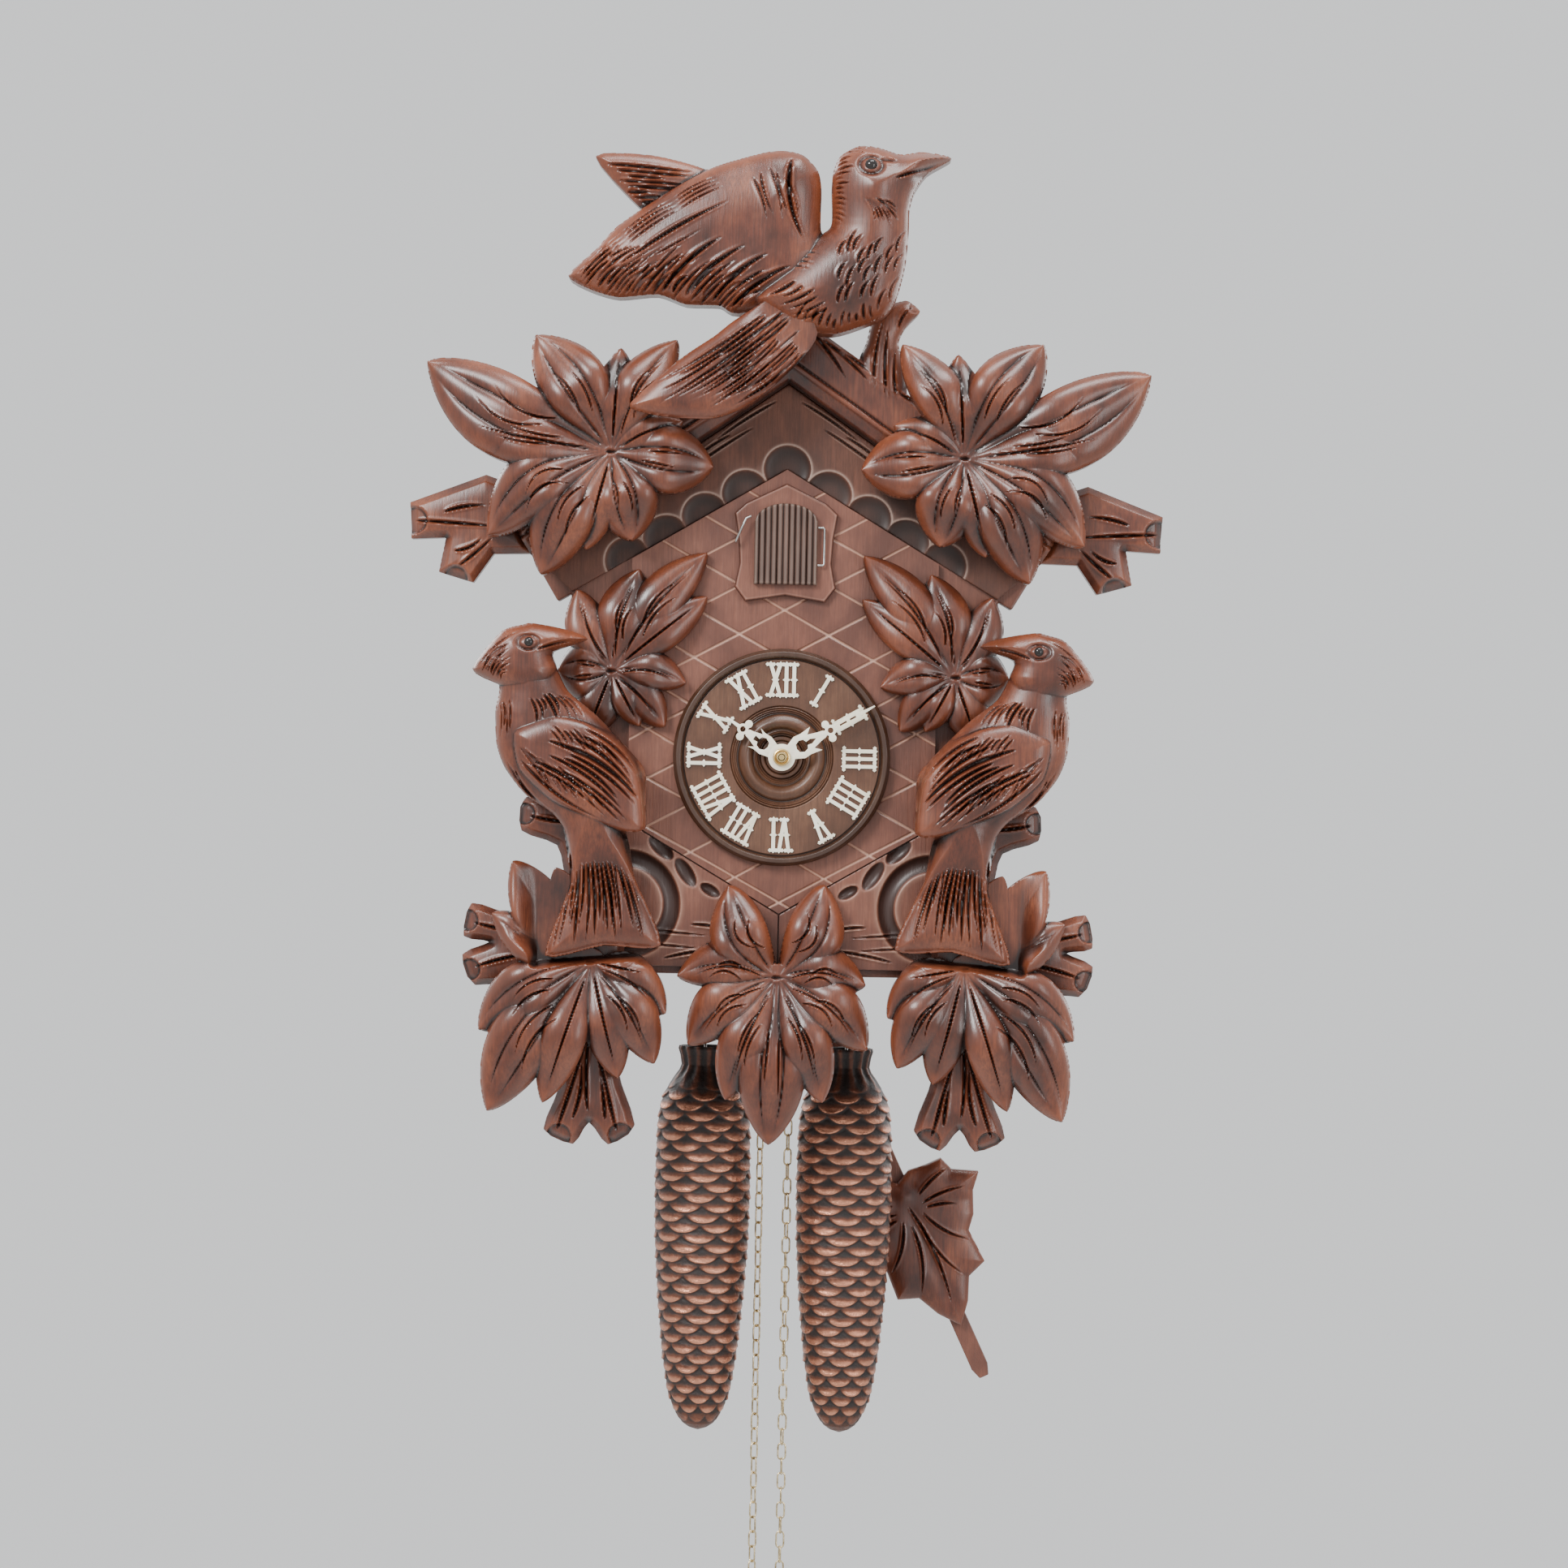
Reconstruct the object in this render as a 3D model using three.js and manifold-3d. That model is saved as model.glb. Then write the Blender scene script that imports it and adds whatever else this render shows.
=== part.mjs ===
// Carved cuckoo clock with two chain-driven trains and pine-cone weights, hung on a wall.
// Millimetres, +Z up, front towards -Y, wall plane at y = 0. Inside the clock group z is
// measured from the middle of the dial; the group is lowered so that the origin is the hook.
import * as THREE from "three";
import { mergeVertices } from "three/addons/utils/BufferGeometryUtils.js";
import Module from "manifold-3d";

const wasm = await Module();
wasm.setup();

// ---------- driving dimensions ----------
const HOOK_ABOVE_DIAL = 140; // wall hook above the dial's middle
const GAP = 0.3; // clearance between pieces that touch

const BOARD = 8; // case board thickness
const CASE_X = 104; // half width of the case
const CASE_FRONT = -126; // back face of the front board
const FRONT_FACE = -138; // front face of the front board
const CASE_BOTTOM = -110;
const COVER_TOP = 60; // where the rear cover meets the fixed back board

const ROOF_SLOPE = 0.695; // fall of the roof per mm of width
const ROOF_RIDGE = 226;
const ROOF_X = 140;
const CROWN_TOP = 232.5; // outer apex of the crown board
const CROWN_INNER = 195; // inner apex of the crown board
const CROWN_FRONT = -154;

const LATTICE_FRONT = -142;
const LATTICE_X = 80;

const DOOR_X = 16.4; // half width of the cuckoo door
const DOOR_SILL = 90;
const DOOR_BACK = -146.3;
const DOOR_FRONT = -150.3;

const DIAL_R = 56.6;
const HOUR_ANGLE = -55; // clock-wise degrees from twelve
const MINUTE_ANGLE = 60;

const TRAIN_Y = -78; // plane of the chains
const SPROCKET_PITCH = 15.25; // chain line radius
const CHAIN_X = 22.65; // chain wheel arbor from the middle
const CHAIN_Z = -28; // chain wheel arbor below the dial's middle
const CHAIN_R = 2.3; // radius of the room that a chain takes
const DROP = 110; // travel of each weight
const WEIGHT_TOP = -155;
const CHAIN_END = -440; // foot of the pulled chains

const LEADER_PIVOT = 40; // height of the verge arbor
const HANG_Z = -86; // hook between leader and pendulum rod
const PENDULUM_Y = -32;
const LEADER_Y = -27; // plane of the wire that the pendulum rod hangs on
const PENDULUM_ANGLE = 25.2; // lean of the rod as it hangs at rest
const BOB_DOWN = 165.7; // leaf centre below the hanging hook
const ROD_END = 276;

// ---------- finishes ----------
const finishes = {
  carved: { color: 0x6e3a26, roughness: 0.5, metalness: 0 },
  panel: { color: 0x7d4a3a, roughness: 0.6, metalness: 0 },
  case: { color: 0x54301f, roughness: 0.65, metalness: 0 },
  dial: { color: 0x4c2d18, roughness: 0.5, metalness: 0 },
  ivory: { color: 0xf1e8d2, roughness: 0.4, metalness: 0 },
  brass: { color: 0xb9964a, roughness: 0.35, metalness: 1 },
  steel: { color: 0x8c8c8a, roughness: 0.35, metalness: 1 },
  cone: { color: 0x5a2f22, roughness: 0.45, metalness: 0.4 },
  leather: { color: 0x8d6a4a, roughness: 0.8, metalness: 0 },
};

const clock = new THREE.Group();
clock.position.set(0, 0, -HOOK_ABOVE_DIAL);

function addPiece(name, geometry, finish, parent = clock) {
  const mesh = new THREE.Mesh(geometry, new THREE.MeshStandardMaterial(finishes[finish]));
  mesh.name = name;
  parent.add(mesh);
  return mesh;
}

// ---------- solid helpers ----------
function solidOf(geometry) {
  const bare = geometry.index ? geometry.toNonIndexed() : geometry.clone();
  bare.deleteAttribute("normal");
  bare.deleteAttribute("uv");
  const merged = mergeVertices(bare, 1e-4);
  const mesh = new wasm.Mesh({
    numProp: 3,
    vertProperties: new Float32Array(merged.attributes.position.array),
    triVerts: new Uint32Array(merged.index.array),
  });
  return new wasm.Manifold(mesh);
}

function geometryOf(solid) {
  const mesh = solid.getMesh();
  const geometry = new THREE.BufferGeometry();
  geometry.setAttribute("position", new THREE.BufferAttribute(mesh.vertProperties, 3));
  geometry.setIndex(new THREE.BufferAttribute(mesh.triVerts, 1));
  geometry.computeVertexNormals();
  return geometry;
}

function join(...geometries) {
  return geometryOf(geometries.map(solidOf).reduce((a, b) => a.add(b)));
}

function cut(body, ...tools) {
  return geometryOf(tools.map(solidOf).reduce((a, b) => a.subtract(b), solidOf(body)));
}

// A board between yBack and yFront whose outline is given as [x, z] points.
function slab(outline, yBack, yFront) {
  const shape = new THREE.Shape(outline.map(([x, z]) => new THREE.Vector2(x, z)));
  const geometry = new THREE.ExtrudeGeometry(shape, {
    depth: yBack - yFront,
    bevelEnabled: false,
    curveSegments: 8,
  });
  geometry.rotateX(Math.PI / 2);
  geometry.translate(0, yBack, 0);
  return geometry;
}

function box(x0, x1, y0, y1, z0, z1) {
  const geometry = new THREE.BoxGeometry(x1 - x0, Math.abs(y1 - y0), z1 - z0);
  geometry.translate((x0 + x1) / 2, (y0 + y1) / 2, (z0 + z1) / 2);
  return geometry;
}

function rodY(x, z, radius, y0, y1, sides = 12) {
  const geometry = new THREE.CylinderGeometry(radius, radius, Math.abs(y1 - y0), sides);
  geometry.translate(x, (y0 + y1) / 2, z);
  return geometry;
}

function rodZ(x, y, radius, z0, z1, sides = 12) {
  const geometry = new THREE.CylinderGeometry(radius, radius, z1 - z0, sides);
  geometry.rotateX(Math.PI / 2);
  geometry.translate(x, y, (z0 + z1) / 2);
  return geometry;
}

// A straight wire between two [x, y, z] points.
function wire(from, to, radius, sides = 8) {
  const a = new THREE.Vector3(...from);
  const b = new THREE.Vector3(...to);
  const geometry = new THREE.CylinderGeometry(radius, radius, a.distanceTo(b), sides);
  const along = b.clone().sub(a).normalize();
  geometry.applyQuaternion(
    new THREE.Quaternion().setFromUnitVectors(new THREE.Vector3(0, 1, 0), along));
  geometry.translate(...a.add(b).multiplyScalar(0.5).toArray());
  return geometry;
}

// A turned piece about the Y axis; the profile is [radius, y] points.
function turnedY(profile, segments) {
  return new THREE.LatheGeometry(profile.map(([r, y]) => new THREE.Vector2(r, y)), segments);
}

// A turned piece about the Z axis; the profile is [radius, z] points.
function turnedZ(profile, segments, x, y) {
  const geometry = turnedY(profile, segments);
  geometry.rotateX(Math.PI / 2);
  geometry.translate(x, y, 0);
  return geometry;
}

function mirrored(outline) {
  return outline.map(([x, z]) => [-x, z]).reverse();
}

// The right half of an outline, top to bottom, made whole.
function bothHalves(right) {
  const left = right.filter(([x]) => x > 0).map(([x, z]) => [-x, z]).reverse();
  return [...right, ...left];
}

// A left-hand outline as it is, or swapped to the right.
function sided(outline, side) {
  return side < 0 ? outline : mirrored(outline);
}

// ---------- case ----------
const roofUnder = (x) => ROOF_RIDGE - BOARD / Math.cos(Math.atan(ROOF_SLOPE)) - ROOF_SLOPE * x;

function addCase() {
  const gap = GAP + 0.1;
  const backTop = [[0, roofUnder(0) - gap], [CASE_X, roofUnder(CASE_X) - gap]];
  const back = slab(bothHalves([...backTop, [CASE_X, COVER_TOP]]), 0, -BOARD);
  const keyhole = rodY(0, HOOK_ABOVE_DIAL - 12, 6, 1, -BOARD - 1, 16);
  const keyslot = box(-3, 3, 1, -BOARD - 1, HOOK_ABOVE_DIAL - 12, HOOK_ABOVE_DIAL + 3);
  addPiece("back_board", cut(back, keyhole, keyslot), "case");
  addPiece("rear_cover",
    box(-CASE_X, CASE_X, -BOARD, -GAP, CASE_BOTTOM, COVER_TOP - GAP), "case");

  const rear = -BOARD - GAP;
  const front = CASE_FRONT + GAP;
  const floorTop = CASE_BOTTOM + BOARD;
  for (const side of [-1, 1]) {
    const x0 = side < 0 ? -CASE_X : CASE_X - BOARD;
    const wall = box(x0, x0 + BOARD, rear, front, floorTop + GAP, roofUnder(CASE_X) - gap);
    const slots = [-90, -78, -66, -54, -42].map((y) =>
      box(x0 - 1, x0 + BOARD + 1, y - 2.2, y + 2.2, 0, 44));
    addPiece(side < 0 ? "side_panel_left" : "side_panel_right", cut(wall, ...slots), "case");
  }

  const floor = box(-CASE_X, CASE_X, rear, front, CASE_BOTTOM, floorTop);
  const holes = [-1, 1].flatMap((side) => [
    CHAIN_X - SPROCKET_PITCH, CHAIN_X + SPROCKET_PITCH,
  ].map((x) => box(side * x - 4.5, side * x + 4.5, TRAIN_Y - 4.5, TRAIN_Y + 4.5,
    CASE_BOTTOM - 1, floorTop + 1)));
  const swingSlot = box(-34, 34, PENDULUM_Y - 8, PENDULUM_Y + 8, CASE_BOTTOM - 1, floorTop + 1);
  addPiece("bottom_board", cut(floor, ...holes, swingSlot), "case");

  const tilt = Math.atan(ROOF_SLOPE);
  const roof = [
    [-0.2, ROOF_RIDGE],
    [-0.2, roofUnder(0)],
    [-ROOF_X + BOARD * Math.sin(tilt), ROOF_RIDGE - ROOF_SLOPE * ROOF_X - BOARD * Math.cos(tilt)],
    [-ROOF_X, ROOF_RIDGE - ROOF_SLOPE * ROOF_X],
  ];
  addPiece("roof_left", slab(sided(roof, -1), -1, front), "case");
  addPiece("roof_right", slab(sided(roof, 1), -1, front), "case");
}

// The doorway through the front board, the lattice panel and the plaque.
function doorway(yBack, yFront) {
  const arch = [];
  for (let step = 0; step <= 8; step += 1) {
    const angle = (step / 8) * Math.PI;
    arch.push([13 * Math.cos(angle), 112 + 13 * Math.sin(angle)]);
  }
  return slab([[-13, 92], [13, 92], ...arch], yBack, yFront);
}

function addFront() {
  const eaveOut = [148, CROWN_TOP - 1 - ROOF_SLOPE * 148];
  const outline = bothHalves([
    [0, CROWN_TOP - 1], eaveOut, [118.6, 79.3], [111.5, 83.6], [111.5, -114],
  ]);
  const board = slab(outline, CASE_FRONT, FRONT_FACE);
  addPiece("front_board",
    cut(board, doorway(-120, -145), rodY(0, 0, 6.5, -120, -145, 16)), "panel");

  const lattice = slab(
    bothHalves([[0, 150.2], [LATTICE_X, 102.4], [LATTICE_X, -34.4], [0, -81.5]]),
    FRONT_FACE - GAP, LATTICE_FRONT);
  addPiece("lattice_panel",
    cut(lattice, doorway(-130, -150), rodY(0, 0, 6.5, -130, -150, 16)), "panel");

  const crown = bothHalves([[0, CROWN_TOP], [148.6, 129.2], [132.7, 102.8], [0, CROWN_INNER]]);
  const perch = [
    [36, 190], [60, 178], [60.4, 201.6], [56.5, 216], [59.9, 224.7], [67.4, 233.5],
    [61, 238.7], [54.6, 237.6], [43.8, 233], [39.8, 217], [36, 207],
  ];
  addPiece("gable_frame", join(
    slab(crown, FRONT_FACE - GAP, CROWN_FRONT),
    slab(perch, FRONT_FACE - GAP, CROWN_FRONT)), "carved");
}

// ---------- carvings ----------
const FULLNESS = 1.25; // how far the lobes of a leaf swell into one another

// A leaf lobe: a curved spine that swells past its middle and ends in a point.
function lobeOutline([cx, cz], [angle, length, halfWidth, bend]) {
  const a = THREE.MathUtils.degToRad(angle);
  const along = [Math.cos(a), Math.sin(a)];
  const across = [-along[1], along[0]];
  const left = [];
  const right = [];
  for (const t of [0.06, 0.3, 0.55, 0.78, 0.93]) {
    const shift = bend * 4 * t * (1 - t);
    const width = halfWidth * FULLNESS * Math.sin(Math.PI * t ** 1.2) ** 0.7;
    for (const [list, sign] of [[left, 1], [right, -1]]) {
      const off = shift + sign * width;
      list.push([cx + along[0] * t * length + across[0] * off,
        cz + along[1] * t * length + across[1] * off]);
    }
  }
  const tip = [cx + along[0] * length, cz + along[1] * length];
  return [...right, tip, ...left.reverse()];
}

function leaf(centre, hubRadius, lobes, side, yBack, yFront) {
  const mid = [side * centre[0], centre[1]];
  const petals = lobes.map(([angle, length, width, bend]) => {
    const lobe = side < 0 ? [angle, length, width, bend] : [180 - angle, length, width, -bend];
    return slab(lobeOutline(mid, lobe), yBack, yFront);
  });
  return join(rodY(mid[0], mid[1], hubRadius, yBack, yFront, 10), ...petals);
}

// Lobes are [angle, length, half width, bend] for the left-hand leaf.
const UPPER_LEAF = [
  [154.9, 106, 17, 8], [170.4, 83, 11, 2], [124, 72, 14, -3], [85.9, 54, 8, 0],
  [60.7, 67, 10, 4], [24.6, 40, 8, 2], [-7, 53, 14, 0], [-76, 47, 13, 2],
  [-119, 73, 13, -5], [-145, 77, 13, -9], [-104, 52, 8, 0],
];
const MIDDLE_LEAF = [
  [52.2, 79, 10, 4], [39, 63, 8, 0], [-8, 39, 8, 4], [-45, 40, 8, 2], [-62, 32, 6, 0],
  [114, 46, 9, 3], [76, 55, 10, 3], [180, 28, 12, 0], [-110, 36, 9, 0],
];
const LOWER_LEAF = [
  [-123.8, 94, 14, -6], [-148, 68, 12, -5], [-108, 77, 9, 0], [-76, 62, 9, 0],
  [-57, 62, 10, 4], [-33.7, 47, 9, 4], [-10, 34, 7, 0], [129, 66, 11, 4], [112, 52, 8, 0],
  [155, 57, 9, 4],
];
const BOTTOM_LEAF = [
  [-92, 87, 14, 0], [-112, 69, 10, -3], [-69, 69, 10, 3], [-142, 58, 11, -6],
  [-38, 60, 11, 6], [-180, 52, 10, -7], [-4, 46, 10, 6], [119, 54, 12, 7], [64, 54, 12, -7],
];

const TOP_BIRD = {
  farWing: [[-102.4, 308.5], [-78.7, 282.2], [-60, 270], [-30, 288], [-43.7, 302.1],
    [-72.8, 309.5]],
  nearWing: [[-114.9, 245.8], [-103.1, 238.8], [-88.6, 235.1], [-68.4, 237], [-53.8, 232.1],
    [-36.5, 231.8], [-27, 228], [12, 236], [20, 262], [14.8, 271.5], [14.7, 291.8],
    [12.8, 301.8], [5.4, 309.6], [-3.3, 311.9], [-14.9, 311.1], [-40.8, 303.2],
    [-63, 291], [-89.4, 272.3], [-101.4, 259]],
  tail: [[-81, 179.9], [-76, 175.5], [-61.3, 173], [-38.3, 172.7], [-22.4, 178.9],
    [-8.1, 190], [5, 203], [14, 218], [0, 240], [-26.9, 224.4], [-39, 214.7], [-56.1, 202.8]],
  body: [[-20, 236], [0, 222], [21.7, 218.1], [38.9, 223.5], [49, 228.8], [54.6, 237.6],
    [58.6, 253.6], [60, 270.9], [60.2, 282.5], [62.8, 292.7], [69.2, 302.3], [81.6, 310.1],
    [74.8, 312.5], [64.6, 313.3], [54.5, 311.4], [44.4, 314.3], [34.2, 315.3],
    [24.2, 310], [20.7, 302], [19.9, 293.3], [20.4, 281.7], [19.6, 273], [10, 265]],
};
const SIDE_BIRD = [
  [-160.3, 42.3], [-146.6, 34.6], [-148.2, 21], [-147.2, 3.7], [-142.6, -8.5],
  [-131.9, -21.8], [-117, -31.8], [-110.5, -42], [-107, -67], [-120, -104.8],
  [-90, -99], [-60.5, -98.3], [-74.6, -63.8], [-81, -44], [-79.8, -39], [-69.9, -38.5],
  [-69.5, -26.8], [-70.5, -8.3], [-78.1, 1.4], [-95.8, 19.5], [-110.8, 31.6],
  [-117.2, 43.8], [-119, 52], [-101.5, 58.9], [-112, 63.5], [-129.5, 66.5], [-134.9, 65.6],
  [-145.9, 61.7],
];
const UPPER_BRANCH = [
  [-196, 129], [-195, 110], [-177, 111], [-180.4, 93.1], [-162.4, 87.9], [-152, 103],
  [-134.6, 101.5], [-151, 129], [-136, 139.4], [-156.7, 144.1],
];
const LOWER_BRANCH = [
  [-160, -79], [-163.7, -96.3], [-150, -99], [-164.2, -105.7], [-157.2, -121.7],
  [-120, -118], [-112, -140], [-112, -172], [-120.2, -195.9], [-104.6, -203.4],
  [-96.5, -192], [-86.5, -203.3], [-72.7, -193], [-83, -160], [-80, -100],
  [-86, -50], [-100, -20], [-133, -23.4], [-134.7, -40.8], [-116, -48], [-112, -66],
  [-116, -80], [-140, -84],
];

const UPPER_LEAF_FRONT = -179;
const TOP_BIRD_FRONT = -189;
const MIDDLE_FRONT = -158;
const BIRD_FRONT = -182;
const BRANCH_FRONT = -152;

function addCarvings() {
  const { tail, ...upper } = TOP_BIRD;
  const birdParts = Object.values(upper).map((part) =>
    slab(part, CROWN_FRONT - GAP, TOP_BIRD_FRONT));
  addPiece("top_bird", join(
    ...birdParts, slab(tail, UPPER_LEAF_FRONT - GAP, TOP_BIRD_FRONT)), "carved");
  for (const side of [-1, 1]) {
    const hand = side < 0 ? "left" : "right";
    addPiece(`upper_leaf_${hand}`,
      leaf([91, 155.9], 8, UPPER_LEAF, side, CROWN_FRONT - GAP, UPPER_LEAF_FRONT), "carved");
    addPiece(`upper_branch_${hand}`,
      slab(sided(UPPER_BRANCH, side), FRONT_FACE - GAP, BRANCH_FRONT), "carved");
    addPiece(`middle_leaf_${hand}`,
      leaf([89.4, 43.1], 6, MIDDLE_LEAF, side, LATTICE_FRONT - GAP, MIDDLE_FRONT), "carved");
    addPiece(`side_bird_${hand}`,
      slab(sided(SIDE_BIRD, side), MIDDLE_FRONT - GAP, BIRD_FRONT), "carved");
    addPiece(`lower_branch_${hand}`,
      slab(sided(LOWER_BRANCH, side), LATTICE_FRONT - GAP, BRANCH_FRONT), "carved");
    const tailRoom = sided(
      [[-125, -108], [-56, -101.5], [-56, -60], [-125, -30]], side);
    const low = leaf([96.5, -107.7], 8, LOWER_LEAF, side,
      BRANCH_FRONT - GAP, BRANCH_FRONT - 24);
    addPiece(`lower_leaf_${hand}`,
      cut(low, slab(tailRoom, MIDDLE_FRONT, BIRD_FRONT - 10)), "carved");
  }
  addPiece("bottom_leaf",
    leaf([0, -114.4], 8, BOTTOM_LEAF, -1, LATTICE_FRONT - GAP, LATTICE_FRONT - 26), "carved");
}

// ---------- cuckoo door ----------
function addDoor() {
  const plaque = bothHalves([
    [0, 142.8], [21, 132.5], [27, 127], [24.8, 114], [24, 101], [26.4, 88.5], [20.8, 81],
    [0, 84.3],
  ]);
  addPiece("door_plaque",
    cut(slab(plaque, LATTICE_FRONT - GAP, -146), doorway(-140, -150)), "panel");

  const door = [[-DOOR_X, DOOR_SILL], [DOOR_X, DOOR_SILL], [DOOR_X, 123]];
  for (let step = 1; step < 8; step += 1) {
    const angle = (step / 8) * Math.PI;
    door.push([DOOR_X * 0.97 * Math.cos(angle), 123 + 9.2 * Math.sin(angle)]);
  }
  door.push([-DOOR_X, 123]);
  addPiece("cuckoo_door", slab(door, DOOR_BACK, DOOR_FRONT), "case");

  const pinX = 20;
  const pinY = -148.3;
  addPiece("door_hinge_wire", join(
    rodZ(pinX, pinY, 0.7, 99.5, 120.5, 8),
    wire([pinX, pinY, 100.2], [DOOR_X + GAP, pinY, 100.2], 0.6),
    wire([pinX, pinY, 119.8], [DOOR_X + GAP, pinY, 119.8], 0.6)), "steel");
  addPiece("door_latch", join(
    wire([-26, -146.3, 112], [-26, -151.5, 112], 0.7),
    wire([-26, -151.2, 112], [-20.6, -151.2, 124.5], 0.6),
    wire([-20.8, -151.2, 124], [-18.2, -151.2, 125.2], 0.6)), "steel");
}

// ---------- dial and hands ----------
function addDial() {
  const back = LATTICE_FRONT - GAP;
  addPiece("dial", turnedY([
    [5.5, back], [5.5, -145.4], [11.5, -145.4], [14, -147.4], [20.5, -148.6], [24.6, -145.6],
    [26.5, -147.6], [50.3, -147.6], [51.8, -150], [54.6, -150], [DIAL_R, -147.5],
    [DIAL_R, back], [5.5, back],
  ], 36), "dial");

  // Hands point up in their own frame and are turned clockwise to the time shown.
  const hand = (hubRadius, hole, blade, yBack, yFront) => cut(
    join(rodY(0, 0, hubRadius, yBack, yFront, 20), slab(blade, yBack, yFront)),
    rodY(0, 0, hole, yBack + 1, yFront - 1, 20));
  const turn = (mesh, degrees) => {
    mesh.rotation.y = THREE.MathUtils.degToRad(degrees);
  };
  const hourBlade = bothHalves([
    [0.8, 36], [2.4, 29], [4.6, 24], [2.6, 20], [6, 15], [3.6, 10], [2.2, 4]]);
  const minuteBlade = bothHalves([
    [0.6, 55.5], [1.6, 42], [3.6, 33], [1.8, 28], [4.6, 20], [3, 10], [1.8, 4]]);
  turn(addPiece("hour_hand", hand(7, 4.4, hourBlade, -151, -152.3), "ivory"), HOUR_ANGLE);
  turn(addPiece("minute_hand", hand(6.4, 1.9, minuteBlade, -154, -155.3), "ivory"),
    MINUTE_ANGLE);
  addPiece("hand_nut", turnedY([
    [1.9, -155.6], [1.9, -158.8], [3.2, -158.8], [4.4, -157.2], [4.4, -155.6], [1.9, -155.6],
  ], 16), "brass");
}

// ---------- weights and chains ----------
function addWeights() {
  const profile = [
    [0, -361], [6, -359], [12.5, -352], [17.5, -340], [21, -320], [24, -290], [26, -260],
    [26.5, -230], [26, -200], [23.5, -182], [17, -172], [12, -166], [13.5, WEIGHT_TOP],
    [9.5, WEIGHT_TOP], [8.5, -166], [15, -190], [15, -318], [1.8, -322], [1.8, -147],
    [0, -147],
  ];
  for (const [train, side] of [["strike", -1], ["going", 1]]) {
    const outer = side * (CHAIN_X + SPROCKET_PITCH);
    const inner = side * (CHAIN_X - SPROCKET_PITCH);
    addPiece(`${train}_weight`, turnedZ(profile, 20, outer, TRAIN_Y), "cone");
    addPiece(`${train}_weight_chain`,
      rodZ(outer, TRAIN_Y, CHAIN_R, -146.7, CHAIN_Z + DROP, 8), "brass");
    addPiece(`${train}_free_chain`, rodZ(inner, TRAIN_Y, CHAIN_R, CHAIN_END, CHAIN_Z, 8), "brass");
    const ring = new THREE.TorusGeometry(6.5, 1.1, 6, 16);
    ring.rotateY(Math.PI / 2);
    ring.translate(inner, TRAIN_Y, CHAIN_END - GAP - 7.6);
    addPiece(`${train}_chain_ring`, ring, "brass");
  }
}

// ---------- movement ----------
// Teeth as plain points: the tip stands 0.45 module out and the root 0.75 module in.
function gearOutline([cx, cz], teeth, module, phase) {
  const radius = (teeth * module) / 2;
  const points = [];
  for (let i = 0; i < teeth * 2; i += 1) {
    const r = i % 2 ? radius - 0.75 * module : radius + 0.45 * module;
    const angle = ((i / 2 + phase) / teeth) * 2 * Math.PI;
    points.push([cx + r * Math.cos(angle), cz + r * Math.sin(angle)]);
  }
  return points;
}

const PLATE_FRONT = -102;
const PLATE_BACK = -50;
const ARBOR = 1.5;
const PIN_WHEEL = [-47.6, -2.05];
const ESCAPE = [0, 22];
const HAMMER = [52, 34]; // gong hammer arbor

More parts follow.
